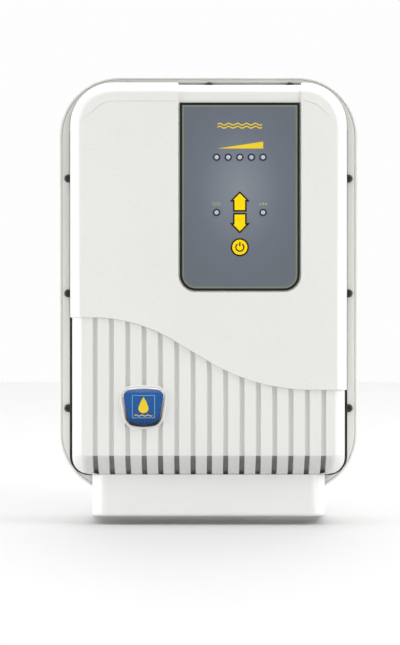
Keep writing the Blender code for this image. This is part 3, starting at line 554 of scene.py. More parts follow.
def add_node(owner, kind, inputs=None, **settings):
    """A shader node in a material or a world, with its settings and inputs."""
    node = owner.node_tree.nodes.new(f"ShaderNode{kind}")
    for name, value in settings.items():
        setattr(node, name, value)
    fill(owner, node, inputs or {})
    return node


def own_place(owner):
    return add_node(owner, "TexCoord").outputs["Object"]


def own_axes(owner, vector=None):
    """The X, Y and Z of a vector, which is the object's own place unless another is given."""
    return add_node(owner, "SeparateXYZ", {"Vector": vector or own_place(owner)}).outputs


def mapped(owner, inputs, **settings):
    """The object's own place, moved, turned or scaled."""
    inputs = {"Vector": own_place(owner), **inputs}
    return add_node(owner, "Mapping", inputs, **settings).outputs["Vector"]


def maths(owner, operation, *values):
    return add_node(owner, "Math", dict(enumerate(values)), operation=operation).outputs["Value"]


def multiplied(owner, share, colour, other):
    """A colour multiplied by another one, by a share of 0 to 1."""
    inputs = {"Factor": share, "A": colour, "B": other}
    return add_node(owner, "Mix", inputs, data_type="RGBA", blend_type="MULTIPLY").outputs["Result"]


def noise(owner, scale, detail=3.0, stretch=(1, 1, 1)):
    """Noise over the object's own metres, stretched along an axis if wanted."""
    inputs = {"Vector": mapped(owner, {"Scale": stretch}), "Scale": scale, "Detail": detail}
    return add_node(owner, "TexNoise", inputs).outputs["Fac"]


def ramp(owner, source, colours, places=(0.3, 0.7)):
    """A colour ramp over a value."""
    node = add_node(owner, "ValToRGB", {"Fac": source})
    elements = node.color_ramp.elements
    while len(elements) < len(colours):
        elements.new(0.5)
    for element, place, colour in zip(elements, places, colours):
        element.position = place
        element.color = (*colour, 1)
    return node.outputs["Color"]


def spread(owner, source, low=0.0, high=1.0, start=0.25, end=0.75):
    """A value that runs from low to high while another one runs from start to end."""
    inputs = {"Value": source, "From Min": start, "From Max": end, "To Min": low, "To Max": high}
    return add_node(owner, "MapRange", inputs).outputs["Result"]


def bump(owner, source, strength, distance):
    inputs = {"Height": source, "Strength": strength, "Distance": distance}
    return add_node(owner, "Bump", inputs).outputs["Normal"]


def new_material(name):
    material = bpy.data.materials.new(name)
    material.use_nodes = True
    return material


def finished(material, inputs):
    """The material, with its shader's inputs set or linked."""
    fill(material, material.node_tree.nodes["Principled BSDF"], inputs)
    return material


def surface(name, colour, rough, vary=0.03, grain=900, relief=0.02, metallic=0.0, coat=0.0,
            stretch=(1, 1, 1), cloud=14, shine=0.5):
    """A moulded, rolled or cast surface: soft colour clouds, uneven gloss and a fine grain."""
    material = new_material(name)
    dark = [c * (1 - vary) for c in colour]
    light = [min(1.0, c * (1 + vary)) for c in colour]
    fine = noise(material, grain, 2.0, stretch)
    return finished(material, {
        "Base Color": ramp(material, noise(material, cloud, 4.0), (dark, light)),
        "Roughness": spread(material, fine, rough * 0.85, rough * 1.15),
        "Normal": bump(material, fine, relief, 0.0004),
        "Metallic": metallic,
        "Specular IOR Level": shine,
        "Coat Weight": coat,
        "Coat Roughness": 0.12,
    })


def ink(name, colour, rough=0.42, vary=0.05, shine=0.15):
    return surface(f"print_{name}", colour, rough, vary, 2400, 0.04, shine=shine)


def overlay_material():
    """Printed film: slate grey, lighter round the middle of the keypad, with a fine satin grain."""
    material = new_material("overlay_film")
    glow = {"Location": (PANEL_X, OVERLAY_FRONT, GLOW_Z), "Scale": (GLOW_HALF_WIDTH, 1.0, GLOW_HALF_HEIGHT)}
    place = mapped(material, glow, vector_type="TEXTURE")
    gradient = add_node(material, "TexGradient", {"Vector": place}, gradient_type="SPHERICAL")
    greys = ((0.135, 0.157, 0.184), (0.150, 0.170, 0.205), (0.238, 0.260, 0.297))
    field = ramp(material, gradient.outputs["Fac"], greys, (0.0, 0.35, 1.0))
    fine = noise(material, 2600, 2.0)
    grain = ramp(material, fine, ((0.95, 0.95, 0.95), (1, 1, 1)))
    return finished(material, {
        "Base Color": multiplied(material, 1.0, field, grain),
        "Roughness": spread(material, fine, 0.38, 0.46),
        "Specular IOR Level": 0.25,
        "Normal": bump(material, fine, 0.04, 0.0002),
    })


def toned(material, axis, start, end, tone, within=None):
    """Multiplies a colour by a tone where a coordinate has passed from start to end."""
    shader = material.node_tree.nodes["Principled BSDF"]
    colour = shader.inputs["Base Color"].links[0].from_socket
    axes = own_axes(material)
    share = spread(material, axes[axis], start=start, end=end)
    if within:
        side = maths(material, "ABSOLUTE", axes["X"])
        inside = spread(material, side, start=within + 0.004, end=within)
        share = maths(material, "MULTIPLY", share, inside)
    return finished(material, {"Base Color": multiplied(material, share, colour, (tone, tone, tone, 1))})


def ribbed_material_with_painted_shade():
    """White plastic, darker between the sides where the mould is deep and below the fold: painted shade for
    the grooves and for the band that faces down.
    """
    material = surface("ribbed_white", (0.80, 0.80, 0.775), 0.36, 0.012, 1100, 0.04)
    # Painted shade: faces set back into the grooves are darkened.
    toned(material, "Y", RIBBED_FRONT + 0.0004, RIBBED_FRONT + 0.0018, 0.95, PAINTED_SHADE_HALF_WIDTH)
    # Painted shade: the band below the fold, which faces down, is darkened.
    return toned(material, "Z", FOLD_Z, FOLD_Z - 0.0006, 0.86, PAINTED_SHADE_HALF_WIDTH)


def grey_with_painted_foot_light(name, colour):
    """Light grey plastic, a little paler towards the foot: painted light for the light thrown up from the
    floor.
    """
    # Painted light: the colour grows paler from the top down to the foot.
    return toned(surface(name, colour, 0.42, 0.03, 1300, 0.06), "Z", 0.15, -0.15, 1.22)


def painted_light_bands(name, colours, places, rough, metallic=0.0):
    """A polished surface whose colour runs through bands from the badge's foot to its top, dark below and
    bright above: painted shade and painted reflection.
    """
    material = new_material(name)
    level = spread(material, own_axes(material)["Z"], start=badge_low.z, end=badge_high.z)
    fine = noise(material, 600, 2.0)
    return finished(material, {
        "Base Color": ramp(material, level, colours, places),
        "Roughness": spread(material, fine, rough * 0.8, rough * 1.2),
        "Normal": bump(material, fine, 0.01, 0.0002),
        "Metallic": metallic,
    })


def winding_material():
    """Yellow tape wound round the ring core, with a darker line at each turn."""
    material = new_material("wound_tape")
    axes = own_axes(material, mapped(material, {"Location": (-CORE_X, 0, -CORE_Z)}))
    turn = maths(material, "ARCTAN2", axes["X"], axes["Z"])
    wave = maths(material, "SINE", maths(material, "MULTIPLY", turn, WINDING_TURNS))
    tape = ((0.35, 0.22, 0.03), (0.78, 0.58, 0.12), (0.82, 0.62, 0.16))
    return finished(material, {
        "Base Color": ramp(material, wave, tape, (0.0, 0.25, 1.0)),
        "Roughness": spread(material, noise(material, 500), 0.35, 0.6),
        "Normal": bump(material, wave, 0.3, 0.0004),
    })


def board_material():
    """Green solder resist over copper tracks."""
    material = new_material("solder_resist")
    tracks = add_node(material, "TexBrick", {
        "Vector": mapped(material, {"Rotation": (math.radians(90), 0, 0)}),
        "Scale": 160,
        "Mortar Size": 0.03,
        "Color1": (0.012, 0.13, 0.045, 1),
        "Color2": (0.02, 0.17, 0.06, 1),
        "Mortar": (0.05, 0.26, 0.09, 1),
    })
    return finished(material, {
        "Base Color": tracks.outputs["Color"],
        "Roughness": spread(material, noise(material, 700), 0.28, 0.42),
        "Normal": bump(material, tracks.outputs["Fac"], 0.2, 0.0001),
    })


# Painted reflection: the chrome runs from near black at the foot to bright at the top.
CHROME_PAINTED_REFLECTION = ((0.03, 0.03, 0.04), (0.10, 0.10, 0.12), (0.30, 0.31, 0.34), (0.80, 0.80, 0.86))
# The enamel's own blue in the middle bands, with painted shade at the foot and a painted highlight at the
# top.
ENAMEL_BLUE_AND_PAINTED_LIGHT = ((0.006, 0.035, 0.13), (0.012, 0.085, 0.30), (0.014, 0.100, 0.34), (0.16, 0.24, 0.45))
MATERIALS = {
    "white_gloss": surface("gloss_white", (0.80, 0.805, 0.775), 0.30, 0.012, 700, 0.03, coat=0.25),
    "white_ribbed": ribbed_material_with_painted_shade(),
    "grey_housing": grey_with_painted_foot_light("housing_grey", (0.66, 0.655, 0.63)),
    "lid_grey": grey_with_painted_foot_light("lid_grey", (0.65, 0.645, 0.62)),
    "gland_grey": surface("gland_grey", (0.30, 0.31, 0.32), 0.45, 0.05, 1500, 0.08),
    "zinc": surface("zinc_plate", (0.55, 0.56, 0.58), 0.36, 0.10, 240, 0.06, 1.0, cloud=90),
    "screw_steel": surface("dark_steel", (0.045, 0.040, 0.036), 0.34, 0.20, 2500, 0.05, 0.4),
    "bright_steel": surface("bright_steel", (0.60, 0.60, 0.61), 0.28, 0.06, 900, 0.04, 1.0),
    "rubber": surface("foam_rubber", (0.060, 0.055, 0.052), 0.80, 0.25, 1800, 0.30),
    "overlay_grey": overlay_material(),
    "key_yellow": surface("key_yellow", (0.98, 0.70, 0.004), 0.45, 0.015, 2200, 0.04, shine=0.1),
    "lens": surface("light_lens", (0.50, 0.52, 0.55), 0.12, 0.05, 300, 0.02, coat=0.5),
    "board_green": board_material(),
    "black_plastic": surface("black_plastic", (0.022, 0.022, 0.023), 0.48, 0.15, 1600, 0.10),
    "relay_blue": surface("relay_blue", (0.03, 0.10, 0.30), 0.42, 0.06, 1400, 0.06),
    "terminal_green": surface("terminal_green", (0.05, 0.30, 0.12), 0.46, 0.06, 1400, 0.08),
    "wound_core": winding_material(),
    "sink_aluminium": surface("aluminium", (0.70, 0.70, 0.72), 0.34, 0.06, 500, 0.08, 1.0,
                              stretch=(1, 1, 0.05)),
    "chrome_rim": painted_light_bands("chrome", CHROME_PAINTED_REFLECTION, (0.0, 0.25, 0.75, 0.93), 0.12, metallic=1.0),
    "enamel_blue": painted_light_bands("enamel_blue", ENAMEL_BLUE_AND_PAINTED_LIGHT, (0.05, 0.30, 0.85, 0.97), 0.25),
}

# Inks and finishes that share a CAD piece's slot, with painted light and painted shade among them
FINISHES_AND_PAINTED_LIGHT = {
    "black": ink("black", (0.016, 0.017, 0.012), 0.40, 0.10),
    "olive": ink("olive", (0.205, 0.225, 0.175)),
    "navy": ink("navy", (0.018, 0.030, 0.060), 0.35, 0.10),
    "yellow": ink("yellow", (0.86, 0.62, 0.03), vary=0.03),
    "pale": ink("pale", (0.42, 0.40, 0.20)),
    "teal": ink("teal", (0.30, 0.52, 0.50), 0.35, shine=0.5),
    # Painted light: the skirt's white is a paler copy of the covers' white plastic, for the light it
    # catches.
    "skirt": surface("skirt_white", (0.87, 0.875, 0.86), 0.32, 0.012, 700, 0.03, coat=0.2),
    # Painted shade: a dark grey for the deep groove faces below the fold.
    "shade": surface("groove_painted_shade", (0.30, 0.30, 0.285), 0.60, 0.06, 1100, 0.05),
}


def dress(obj, body, slot, nodes=(), material=None, sharp=35):
    """Gives a piece its material, the slot's own unless another is given, and its body; one that already
    has two materials keeps them.
    """
    mesh = obj.data
    if len(mesh.materials) < 2:
        mesh.materials.clear()
        mesh.materials.append(material or MATERIALS[slot])
    for polygon in mesh.polygons:
        polygon.use_smooth = True
    mesh.set_sharp_from_angle(angle=math.radians(sharp))
    weighted = obj.modifiers.new("Weighted", "WEIGHTED_NORMAL")
    weighted.keep_sharp = True
    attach(obj, body)
    if nodes:
        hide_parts(*nodes)
    return obj


# Housing, lid and bracket


def build_housing():
    """The tub with its flange and lip, as one wall followed from the inside round to the back."""
    section = [
        (0.0150, TUB_BACK - WALL),
        (0.0150, FLANGE_FRONT),
        (0.0022, FLANGE_FRONT),
        (0.0022, LIP_FRONT + 0.0002),
        (0.0020, LIP_FRONT),
        (0.0010, LIP_FRONT),
        (0.0005, LIP_FRONT + 0.00015),
        (0.0002, LIP_FRONT + 0.0004),
        (0.0, LIP_FRONT + 0.0009),
        (0.0, FLANGE_BACK - 0.0008),
        (0.0003, FLANGE_BACK - 0.0002),
        (0.0009, FLANGE_BACK),
        (0.0108, FLANGE_BACK),
        (0.0116, FLANGE_BACK + 0.0004),
        (0.0120, FLANGE_BACK + 0.0012),
        (0.0120, TUB_BACK - 0.0030),
        (0.0124, TUB_BACK - 0.0014),
        (0.0133, TUB_BACK - 0.0004),
        (0.0148, TUB_BACK),
    ]
    housing = loft("fine_rear_housing", flange_rings(section))
    for x in (-HOOK_X, HOOK_X):
        slot = rounded_box(x - 0.014, x + 0.014, 0.042, 0.0573, 0.0015, 0.0015, 4)
        cut(housing, plate("slot", [slot], -0.012, 0.004))
    holes = [(x, 0.0083) for x in ENTRIES.values()] + [(FUSE_X, 0.0068)]
    for x, radius in holes:
        entry = plate("entry", [circle(x, ENTRY_Y, radius)], TUB_FLOOR_Z - 0.004, TUB_FLOOR_Z + 0.006, "Z")
        cut(housing, entry)
    pad = rounded_box(-0.080, 0.080, -0.120, -0.070, 0.006, 0.006, 6)
    cut(housing, plate("pad", [pad], TUB_BACK - 0.0006, 0.004))
    for x in (-0.09, 0.09):
        rib = rounded_box(x - 0.002, x + 0.002, -0.125, 0.125, 0.0015, 0.0015, 4)
        cut(housing, plate("rib", [rib], TUB_BACK - 0.0008, 0.004))
    posts = [(x, z, 0.0040, 0.0019) for x in (0.004, 0.100) for z in (-0.034, 0.114)]
    posts.append((-0.050, -0.085, 0.007, 0.0034))
    for x, z, radius, bore in posts:
        ring = [circle(x, z, radius, 24), circle(x, z, bore, 24)]
        join(housing, plate("post", ring, -0.0157, TUB_BACK - 0.001))
    dress(housing, "unit", "grey_housing", ["rear_housing"])


def build_lid():
    """A thin plate with a moat that the covers' edges stand in and a rim just inside them."""
    section = [(0.0028, LID_BACK), (0.0025, LID_BACK - 0.0004), (0.0025, LID_FRONT + 0.0005)]
    section += [(0.0027, LID_FRONT + 0.00015), (0.0031, LID_FRONT)]
    lid = loft("fine_lid_plate", flange_rings(section))
    edge = rounded_box(-0.1210, 0.1210, COVER_BOTTOM - 0.001, COVER_TOP + 0.0006, 0.017, 0.0383, 18)
    margin = WALL + 0.0015
    half = RIBBED_HALF_WIDTH - margin
    rim = [
        rounded_box(-half + i, half - i, COVER_BOTTOM + margin + i, 0.1690 - i, 0.0105 - i, 0.031 - i, 18)
        for i in (0, 0.002)
    ]
    cut(lid, plate("moat", [edge, rim[0]], LID_FRONT - 0.002, MOAT_FLOOR))
    join(lid, plate("rim", rim, RIM_FRONT, LID_FRONT + 0.001))
    for name, (x, z) in LID_SCREWS.items():
        way = plate("way", [circle(x, z, 0.0021, 20)], LID_FRONT - 0.002, LID_BACK + 0.002)
        cut(lid, way)
    slot = plate("lead_way", [rounded_box(0.022, 0.046, 0.040, 0.052, 0.002, 0.002, 4)], -0.066, -0.058)
    cut(lid, slot)
    for x in (-COVER_SCREW_X, COVER_SCREW_X):
        join(lid, block("boss", (x - 0.006, -0.083, -0.1601), (x + 0.006, -0.062, -0.146)))
    dress(lid, "unit", "lid_grey", ["lid_plate"])


def build_shade_strip():
    """A dark strip on the lid behind the sides and the foot of the covers: painted shade for the gap
    between the covers and the lid.
    """
    outer = rounded_box(-0.1209, 0.1209, COVER_BOTTOM - 0.0008, 0.135, 0.0165, 0, 12)
    inner = rounded_box(-0.1140, 0.1140, COVER_BOTTOM + 0.0036, 0.1352, 0.0110, 0, 12)
    strip = plate("shade_strip", [outer], MOAT_FLOOR - 0.0008, MOAT_FLOOR + 0.0001)
    cut(strip, plate("inside", [inner], MOAT_FLOOR - 0.002, MOAT_FLOOR + 0.002))
    # The strip takes the dark rubber colour as painted shade.
    dress(strip, "unit", "rubber")


def build_bracket():
    """A folded plate with two hooks and four screw holes."""
    low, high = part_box("wall_bracket")
    front = -0.002
    outline = rounded_box(low.x, high.x, -0.075, 0.075, 0.008, 0.008, 8)
    holes = [circle(x, z, 0.00275, 24) for x in (-0.070, 0.070) for z in (-0.060, 0.060)]
    bracket = plate("fine_wall_bracket", [outline, *holes], front, high.y)
    for x in (-HOOK_X, HOOK_X):
        hook = [
            (front / 2, 0.055), (front / 2, 0.057), (low.y + 0.002, 0.057), (low.y + 0.002, high.z),
            (low.y + 0.0004, high.z), (low.y, high.z - 0.0006), (low.y, 0.0556), (low.y + 0.0006, 0.055),
        ]
        join(bracket, plate("hook", [hook], x - 0.012, x + 0.012, "X"))
    lightening = rounded_box(-0.045, 0.045, -0.045, 0.030, 0.006, 0.006, 8)
    cut(bracket, plate("opening", [lightening], -0.004, -0.0014))
    dress(bracket, "bracket", "zinc", ["wall_bracket"])


def screw_mesh(name, place, length, axis="Y"):
    """A pan-head screw with a cross recess, seated at place with its head towards -Y or -Z."""
    head, height = SCREW_HEAD_RADIUS, SCREW_HEAD_HEIGHT
    profile = [(0, height)]
    for i in range(1, 7):
        turn = math.radians(15 * i)
        profile.append((head * (0.35 + 0.65 * math.sin(turn)), height * (0.45 + 0.55 * math.cos(turn))))
    profile += [(head, 0.0002), (head - 0.0002, 0), (0.0016, 0), (0.0016, -length), (0, -length)]
    if axis == "Z":
        profile = [(radius, -z) for radius, z in profile]
    screw = turned(name, profile, place, axis, steps=32)
    arm, half = head * 0.62, head * 0.12
    for reach_a, reach_b in ((arm, half), (half, arm)):
        x, y, z = place
        if axis == "Y":
            low = (x - reach_a, y - height * 1.2, z - reach_b)
            high = (x + reach_a, y - height * 0.42, z + reach_b)
        else:
            low = (x - reach_a, y - reach_b, z - height * 1.2)
            high = (x + reach_a, y + reach_b, z - height * 0.42)
        cut(screw, block("recess", low, high))
    return screw


def build_screws():
    """The lid screws share one mesh; the others under the unit have their own."""
    first = None
    for name, (x, z) in LID_SCREWS.items():
        seat = Vector((x, LID_FRONT - 0.0003, z))
        if first is None:
            screw = screw_mesh(f"fine_{name}", (0, 0, 0), 0.011)
            first = screw.data
        else:
            screw = add_object(f"fine_{name}", first)
        screw.location = seat
        screw.rotation_euler.y = 0.7 * math.sin(37 * x + 11 * z) + x * 5
        dress(screw, "unit", "screw_steel", [name])
    under = {"cover_screw": (COVER_BOTTOM - 0.0003, 0.0125), "skirt_screw": (TUB_FLOOR_Z - 0.0039, 0.012)}
    for kind, (z, length) in under.items():
        for side in ("left", "right"):
            low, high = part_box(f"{kind}_{side}")
            place = ((low.x + high.x) / 2, (low.y + high.y) / 2, z)
            screw = screw_mesh(f"fine_{kind}_{side}", place, length, axis="Z")
            dress(screw, "unit", "screw_steel", [f"{kind}_{side}"])


# Covers


def smooth_step(value, low, high):
    t = min(1.0, max(0.0, (value - low) / (high - low)))
    return t * t * (3 - 2 * t)


def lip_layers(radius):
    """(depth, growth) of a cut whose rim is rounded, from just outside the surface inwards."""
    first, outside = math.radians(15), 0.0003
    depth = radius * (1 - math.cos(first)) - outside
    layers = [(depth, radius * (1 - math.sin(first)) + outside / math.tan(first))]
    for degrees in (15, 33, 52, 71, 90):
        turn = math.radians(degrees)
        layers.append((radius * (1 - math.cos(turn)), radius * (1 - math.sin(turn))))
    return layers


def cover_section(depth):
    """The upper cover's level section from side to side, at a depth under its surface, as (x, y)."""
    side, edge = COVER_HALF_WIDTH - depth, COVER_EDGE - depth
    edge_x, edge_y = COVER_HALF_WIDTH - COVER_EDGE, COVER_FRONT + COVER_EDGE
    left = [(-side, COVER_BACK + 0.004), (-side, -0.09)]
    left += [(-edge_x + a, edge_y + b) for a, b in shoulder(edge, 180, 270)]
    count = 90
    front = [(-edge_x + 2 * edge_x * i / count, COVER_FRONT + depth) for i in range(1, count)]
    return left + front + [(-x, y) for x, y in reversed(left)]


def wave_tool(thickness):
    """Everything under the wave, as deep as the cover's wall, with a rounded rim."""
    layers = []
    for depth, growth in [*lip_layers(LIP_RADIUS), (thickness, 0.0)]:
        section = cover_section(depth)
        layers.append([((x, y, wave_height(x) + growth), (x, y, -0.2)) for x, y in section])
    return ladder("wave_tool", layers)


def recess_tool():
    """The panel's recess, which runs up over the cover's top edge, with a rounded rim."""
    edge_y, edge_z = COVER_FRONT + COVER_EDGE, COVER_TOP - COVER_EDGE
    layers = []
    for depth, growth in [*lip_layers(0.0007), (RECESS_DEPTH, 0.0)]:
        half = PANEL_HALF_WIDTH + PANEL_MARGIN + growth
        low = PANEL_BOTTOM - PANEL_MARGIN - growth
        radius = PANEL_CORNER + PANEL_MARGIN + growth
        rungs = []
        for a, b in arc(half - radius, low + radius, radius, -90, 0, 16):
            rungs.append((a, COVER_FRONT + depth, b))
        rungs += [(half, COVER_FRONT + depth, z) for z in (0.05, 0.10, 0.14, 0.155)]
        for a, b in shoulder(COVER_EDGE - depth, 180, 90):
            rungs.append((half, edge_y + a, edge_z + b))
        rungs.append((half, COVER_BACK + 0.004, COVER_TOP - depth))
        layers.append([((PANEL_X + x, y, z), (PANEL_X - x, y, z)) for x, y, z in rungs])
    return ladder("recess_tool", layers)


def cover_post(x, z, front):
    """A square post from inside a cover to the lid."""
    half = POST_HALF_WIDTH
    return block("post", (x - half, front, z - half), (x + half, POST_BACK, z + half))


def build_upper_cover():
    """A shell with a broad rounded edge; a soft crease runs round the top inside that edge."""
    half = COVER_HALF_WIDTH
    base = rim_points(-half, half, COVER_BOTTOM, COVER_TOP, COVER_CORNER, COVER_CORNER, 20)
    inner_half = half - WALL
    radius = COVER_CORNER - WALL
    rings = []
    inner_front = COVER_FRONT + 0.0047
    for inset, y in (
        (0.0057, inner_front), (0.0017, inner_front + 0.0017), (0, inner_front + 0.0057), (0, COVER_BACK)
    ):
        ring = rim_points(
            -inner_half + inset, inner_half - inset, COVER_BOTTOM + WALL + inset,
            COVER_TOP - 0.0055 - inset, radius - inset, radius - inset, 20,
        )
        rings.append([(x, y, z) for (x, z), _ in ring])
    rings.append([(x, COVER_BACK, z) for (x, z), _ in base])
    stations = []
    for across, depth in shoulder(COVER_EDGE, 0, 90, 16):
        y = COVER_FRONT + COVER_EDGE - depth
        stations.append((COVER_EDGE - across, 0.0, y, depth * CREASE_DROP / COVER_EDGE))
    for share, lift in ((0.5, 0.15), (0.93, 0.45), (0.96, -0.10), (0.975, -0.10), (1.0, 1.0)):
        inset = COVER_EDGE + 0.0002 * share
        stations.append((inset, CREASE_INSET * share, COVER_FRONT, CREASE_DROP * (1 - lift)))
    for inset, top_inset, y, top_drop in stations:
        ring = []
        for (x, z), (out_x, out_z) in base:
            top = smooth_step(out_z, 0.0, 0.65)
            moved = inset + top_inset * top
            ring.append((x - out_x * moved, y + top_drop * top, z - out_z * moved))
        rings.append(ring)
    cover = loft("fine_upper_cover", rings)
    cut(cover, wave_tool(0.0062))
    cut(cover, block("below", (-0.125, -0.120, -0.200), (0.125, -0.060, -0.100)))
    cut(cover, recess_tool())
    window = rounded_box(PANEL_X - 0.044, PANEL_X + 0.044, 0.014, 0.122, 0.003, 0.003, 4)
    cut(cover, plate("window", [window], -0.12, -0.09))
    for x in (-POST_X, POST_X):
        for z in (0.004, 0.110):
            join(cover, cover_post(x, z, inner_front - 0.0005))
    for side in (-1, 1):
        place = (PANEL_X + side * 0.048, 0.066)
        ring = [circle(*place, 0.0036, 24), circle(*place, 0.0019, 24)]
        join(cover, plate("board_post", ring, inner_front - 0.001, -0.1053))
    dress(cover, "unit", "white_gloss", ["upper_cover"], sharp=28)


def groove_points():
    """(x, depth share) across the ribbed front, left to right."""
    half, lip = GROOVE_HALF_WIDTH, GROOVE_LIP
    near = [(-half - lip, 0.0)]
    for degrees in (35, 65, 90):
        turn = math.radians(degrees)
        near.append((-half - lip + lip * math.sin(turn), 0.17 * (1 - math.cos(turn))))
    near += [(-half + 0.00008, 0.88), (-half + 0.0002, 0.97), (-half + 0.0005, 1.0)]
    across = near + [(-x, depth) for x, depth in reversed(near)]
    points = []
    for i in range(GROOVES):
        centre = GROOVE_FIRST_X + i * GROOVE_PITCH
        points += [(centre + x, depth) for x, depth in across]
    return points


def ribbed_rows():
    """Rows down the ribbed cover: height (None follows the wave), front, groove depth and wall."""
    rows = [(share, None, RIBBED_FRONT, GROOVE_DEPTH, RIBBED_WALL) for share in (0.0, 0.05, 0.4, 0.8)]
    rows.append((1.0, WAVE_FOOT_Z, RIBBED_FRONT, GROOVE_DEPTH, RIBBED_WALL))
    rows.append((1.0, FOLD_Z + 0.0003, RIBBED_FRONT + 0.00008, GROOVE_DEPTH, RIBBED_WALL + 0.0002))
    start_y, start_z = RIBBED_FRONT + 0.0003, FOLD_Z - 0.0002
    rise, back = start_z - COVER_BOTTOM, FOLD_BACK - start_y
    chord = math.hypot(rise, back)
    slant = math.atan2(back, rise)
    turn = (FOLD_END - FOLD_START) / 2
    radius = chord / (2 * math.sin(turn))
    centre = (start_y + radius * math.cos(slant - turn), start_z + radius * math.sin(slant - turn))
    first, last = 180 + math.degrees(slant - turn), 180 + math.degrees(slant + turn)
    for i, (y, z) in enumerate(arc(*centre, radius, first, last, 8)):
        deep = GROOVE_DEPTH + (BAND_GROOVE_DEPTH - GROOVE_DEPTH) * smooth_step(i, 0.0, 1.6)
        wall = RIBBED_WALL + (BAND_WALL - RIBBED_WALL) * smooth_step(i, 0.0, 1.0)
        rows.append((1.0, z, y, deep, wall))
    return rows


def ribbed_half_width(z, inset):
    """Half the cover's width at a height, where its foot corners are rounded."""
    low, radius = COVER_BOTTOM + inset, RIBBED_CORNER - inset
    below = max(0.0, low + radius - z)
    return RIBBED_HALF_WIDTH - inset - radius + math.sqrt(max(0.0, radius**2 - below**2))


def groove_lean(y):
    """How far the grooves draw together at a depth, as the band runs back."""
    return 1 - BAND_LEAN * (y - RIBBED_FRONT) / (FOLD_BACK - RIBBED_FRONT)


def ribbed_points(share, height, front, groove_depth, inset):
    """One row of the ribbed cover from side to side, at an inset under its surface."""
    side_inset = min(inset, WALL)
    foot = COVER_BOTTOM + side_inset
    edge = COVER_EDGE - side_inset
    face = front + inset
    level = 0.0 if height is None else height
    half = ribbed_half_width(max(level, foot), side_inset)
    plan = [(-half, COVER_BACK)]
    plan += [(-half + edge + a, face + edge + b) for a, b in shoulder(edge, 180, 270)]
    plan += [(x * groove_lean(front), face + groove_depth * sunk) for x, sunk in groove_points()]
    plan += [(half - edge + a, face + edge + b) for a, b in shoulder(edge, 270, 360)]
    plan.append((half, COVER_BACK))
    points = []
    for x, y in plan:
        z = height
        if z is None:
            top = wave_height(x) - WAVE_GAP
            z = top + (WAVE_FOOT_Z - top) * share
        points.append((x, y, max(z, foot)))
    return points


def in_band_groove(polygon):
    """Whether a face lies in a groove below the fold."""
    centre = polygon.center
    x = centre.x / groove_lean(centre.y)
    index = round((x - GROOVE_FIRST_X) / GROOVE_PITCH)
    near = abs(x - GROOVE_FIRST_X - index * GROOVE_PITCH) < GROOVE_HALF_WIDTH * 0.98
    low = FOLD_Z - 0.0003 > centre.z > COVER_BOTTOM + 0.0001
    front = polygon.normal.y < 0.5 and centre.y < FOLD_BACK + 0.009
    return 0 <= index < GROOVES and near and low and front


def build_ribbed_cover():
    """A grid that follows the grooves across and the fold down, with a plainer grid behind it."""
    outer, inner = [], []
    for share, height, front, depth, wall in ribbed_rows():
        outer.append(ribbed_points(share, height, front, depth, 0.0))
        inner.append(ribbed_points(share, height, front, 0.0, wall))
    for grid, inset in ((outer, 0.0), (inner, WALL)):
        grid.append([(x, COVER_BACK, COVER_BOTTOM + inset) for x, _, _ in grid[-1]])
    cover = sheet_pair("fine_ribbed_cover", outer, inner)
    join(cover, button("socket", shield_outline(0.0019), -0.1095, BADGE_SOCKET_FRONT, 0.0008))
    for x in (-POST_X, POST_X):
        join(cover, cover_post(x, -0.125, RIBBED_FRONT + 0.0035))
    for x in (-COVER_SCREW_X, COVER_SCREW_X):
        way = plate("way", [circle(x, COVER_SCREW_Y, SCREW_WAY_RADIUS, 20)], -0.17, -0.158, "Z")
        cut(cover, way)
    # Groove faces below the fold take the dark material: painted shade.
    cover.data.materials.clear()
    cover.data.materials.append(MATERIALS["white_ribbed"])
    cover.data.materials.append(FINISHES_AND_PAINTED_LIGHT["shade"])
    for polygon in cover.data.polygons:
        polygon.material_index = int(in_band_groove(polygon))
    dress(cover, "unit", "white_ribbed", ["ribbed_cover"], sharp=32)


def build_skirt():
    """A wall on a U-shaped plan with a rounded lower rim, notched round the housing's foot."""
    low_z, high_z = skirt_low.z, COVER_BOTTOM - 0.00012
    half_width, front, back = skirt_high.x, skirt_low.y, skirt_high.y
    corner = 0.013

    def plan(inset):
        radius = corner - inset
        right = arc(half_width - corner, front + corner, radius, 0, -90, 16)
        left = arc(-half_width + corner, front + corner, radius, -90, -180, 16)
        return [(half_width - inset, back), *right, *left, (-half_width + inset, back)]

    rings = []
    for height, outer, inner in (
        (high_z, 0.0, WALL), (low_z + 0.0026, 0.0, WALL), (low_z + 0.0016, 0.0003, WALL),
        (low_z + 0.0008, 0.0008, WALL), (low_z + 0.0003, 0.0014, WALL), (low_z, 0.0023, WALL - 0.0002),
    ):
        wall = plan(outer) + list(reversed(plan(inner)))
        rings.append([(x, y, height) for x, y in wall])
    skirt = loft("fine_terminal_skirt", rings)
    under_flange = -(FLANGE_HALF_HEIGHT + 0.0006)
    notches = [
        ((-0.12, COVER_BACK - 0.0006, under_flange), (0.12, FLANGE_BACK + 0.0006, -0.15)),
        ((-0.12, FLANGE_BACK, TUB_FLOOR_Z - 0.0006), (0.12, 0, -0.15)),
    ]
    for low, high in notches:
        cut(skirt, block("notch", low, high))
    for side in (-1, 1):
        near, far = sorted((side * 0.078, side * (half_width - WALL / 2)))
        tab = block("tab", (near, -0.038, TUB_FLOOR_Z - 0.0036), (far, -0.022, TUB_FLOOR_Z - 0.0006))
        join(skirt, tab)
        hole = circle(side * SKIRT_SCREW_X, ENTRY_Y, SCREW_WAY_RADIUS, 20)
        cut(skirt, plate("hole", [hole], -0.18, -0.16, "Z"))
    # The skirt's paler white is painted light.
    dress(skirt, "unit", "white_gloss", ["terminal_skirt"], FINISHES_AND_PAINTED_LIGHT["skirt"])


# Control panel


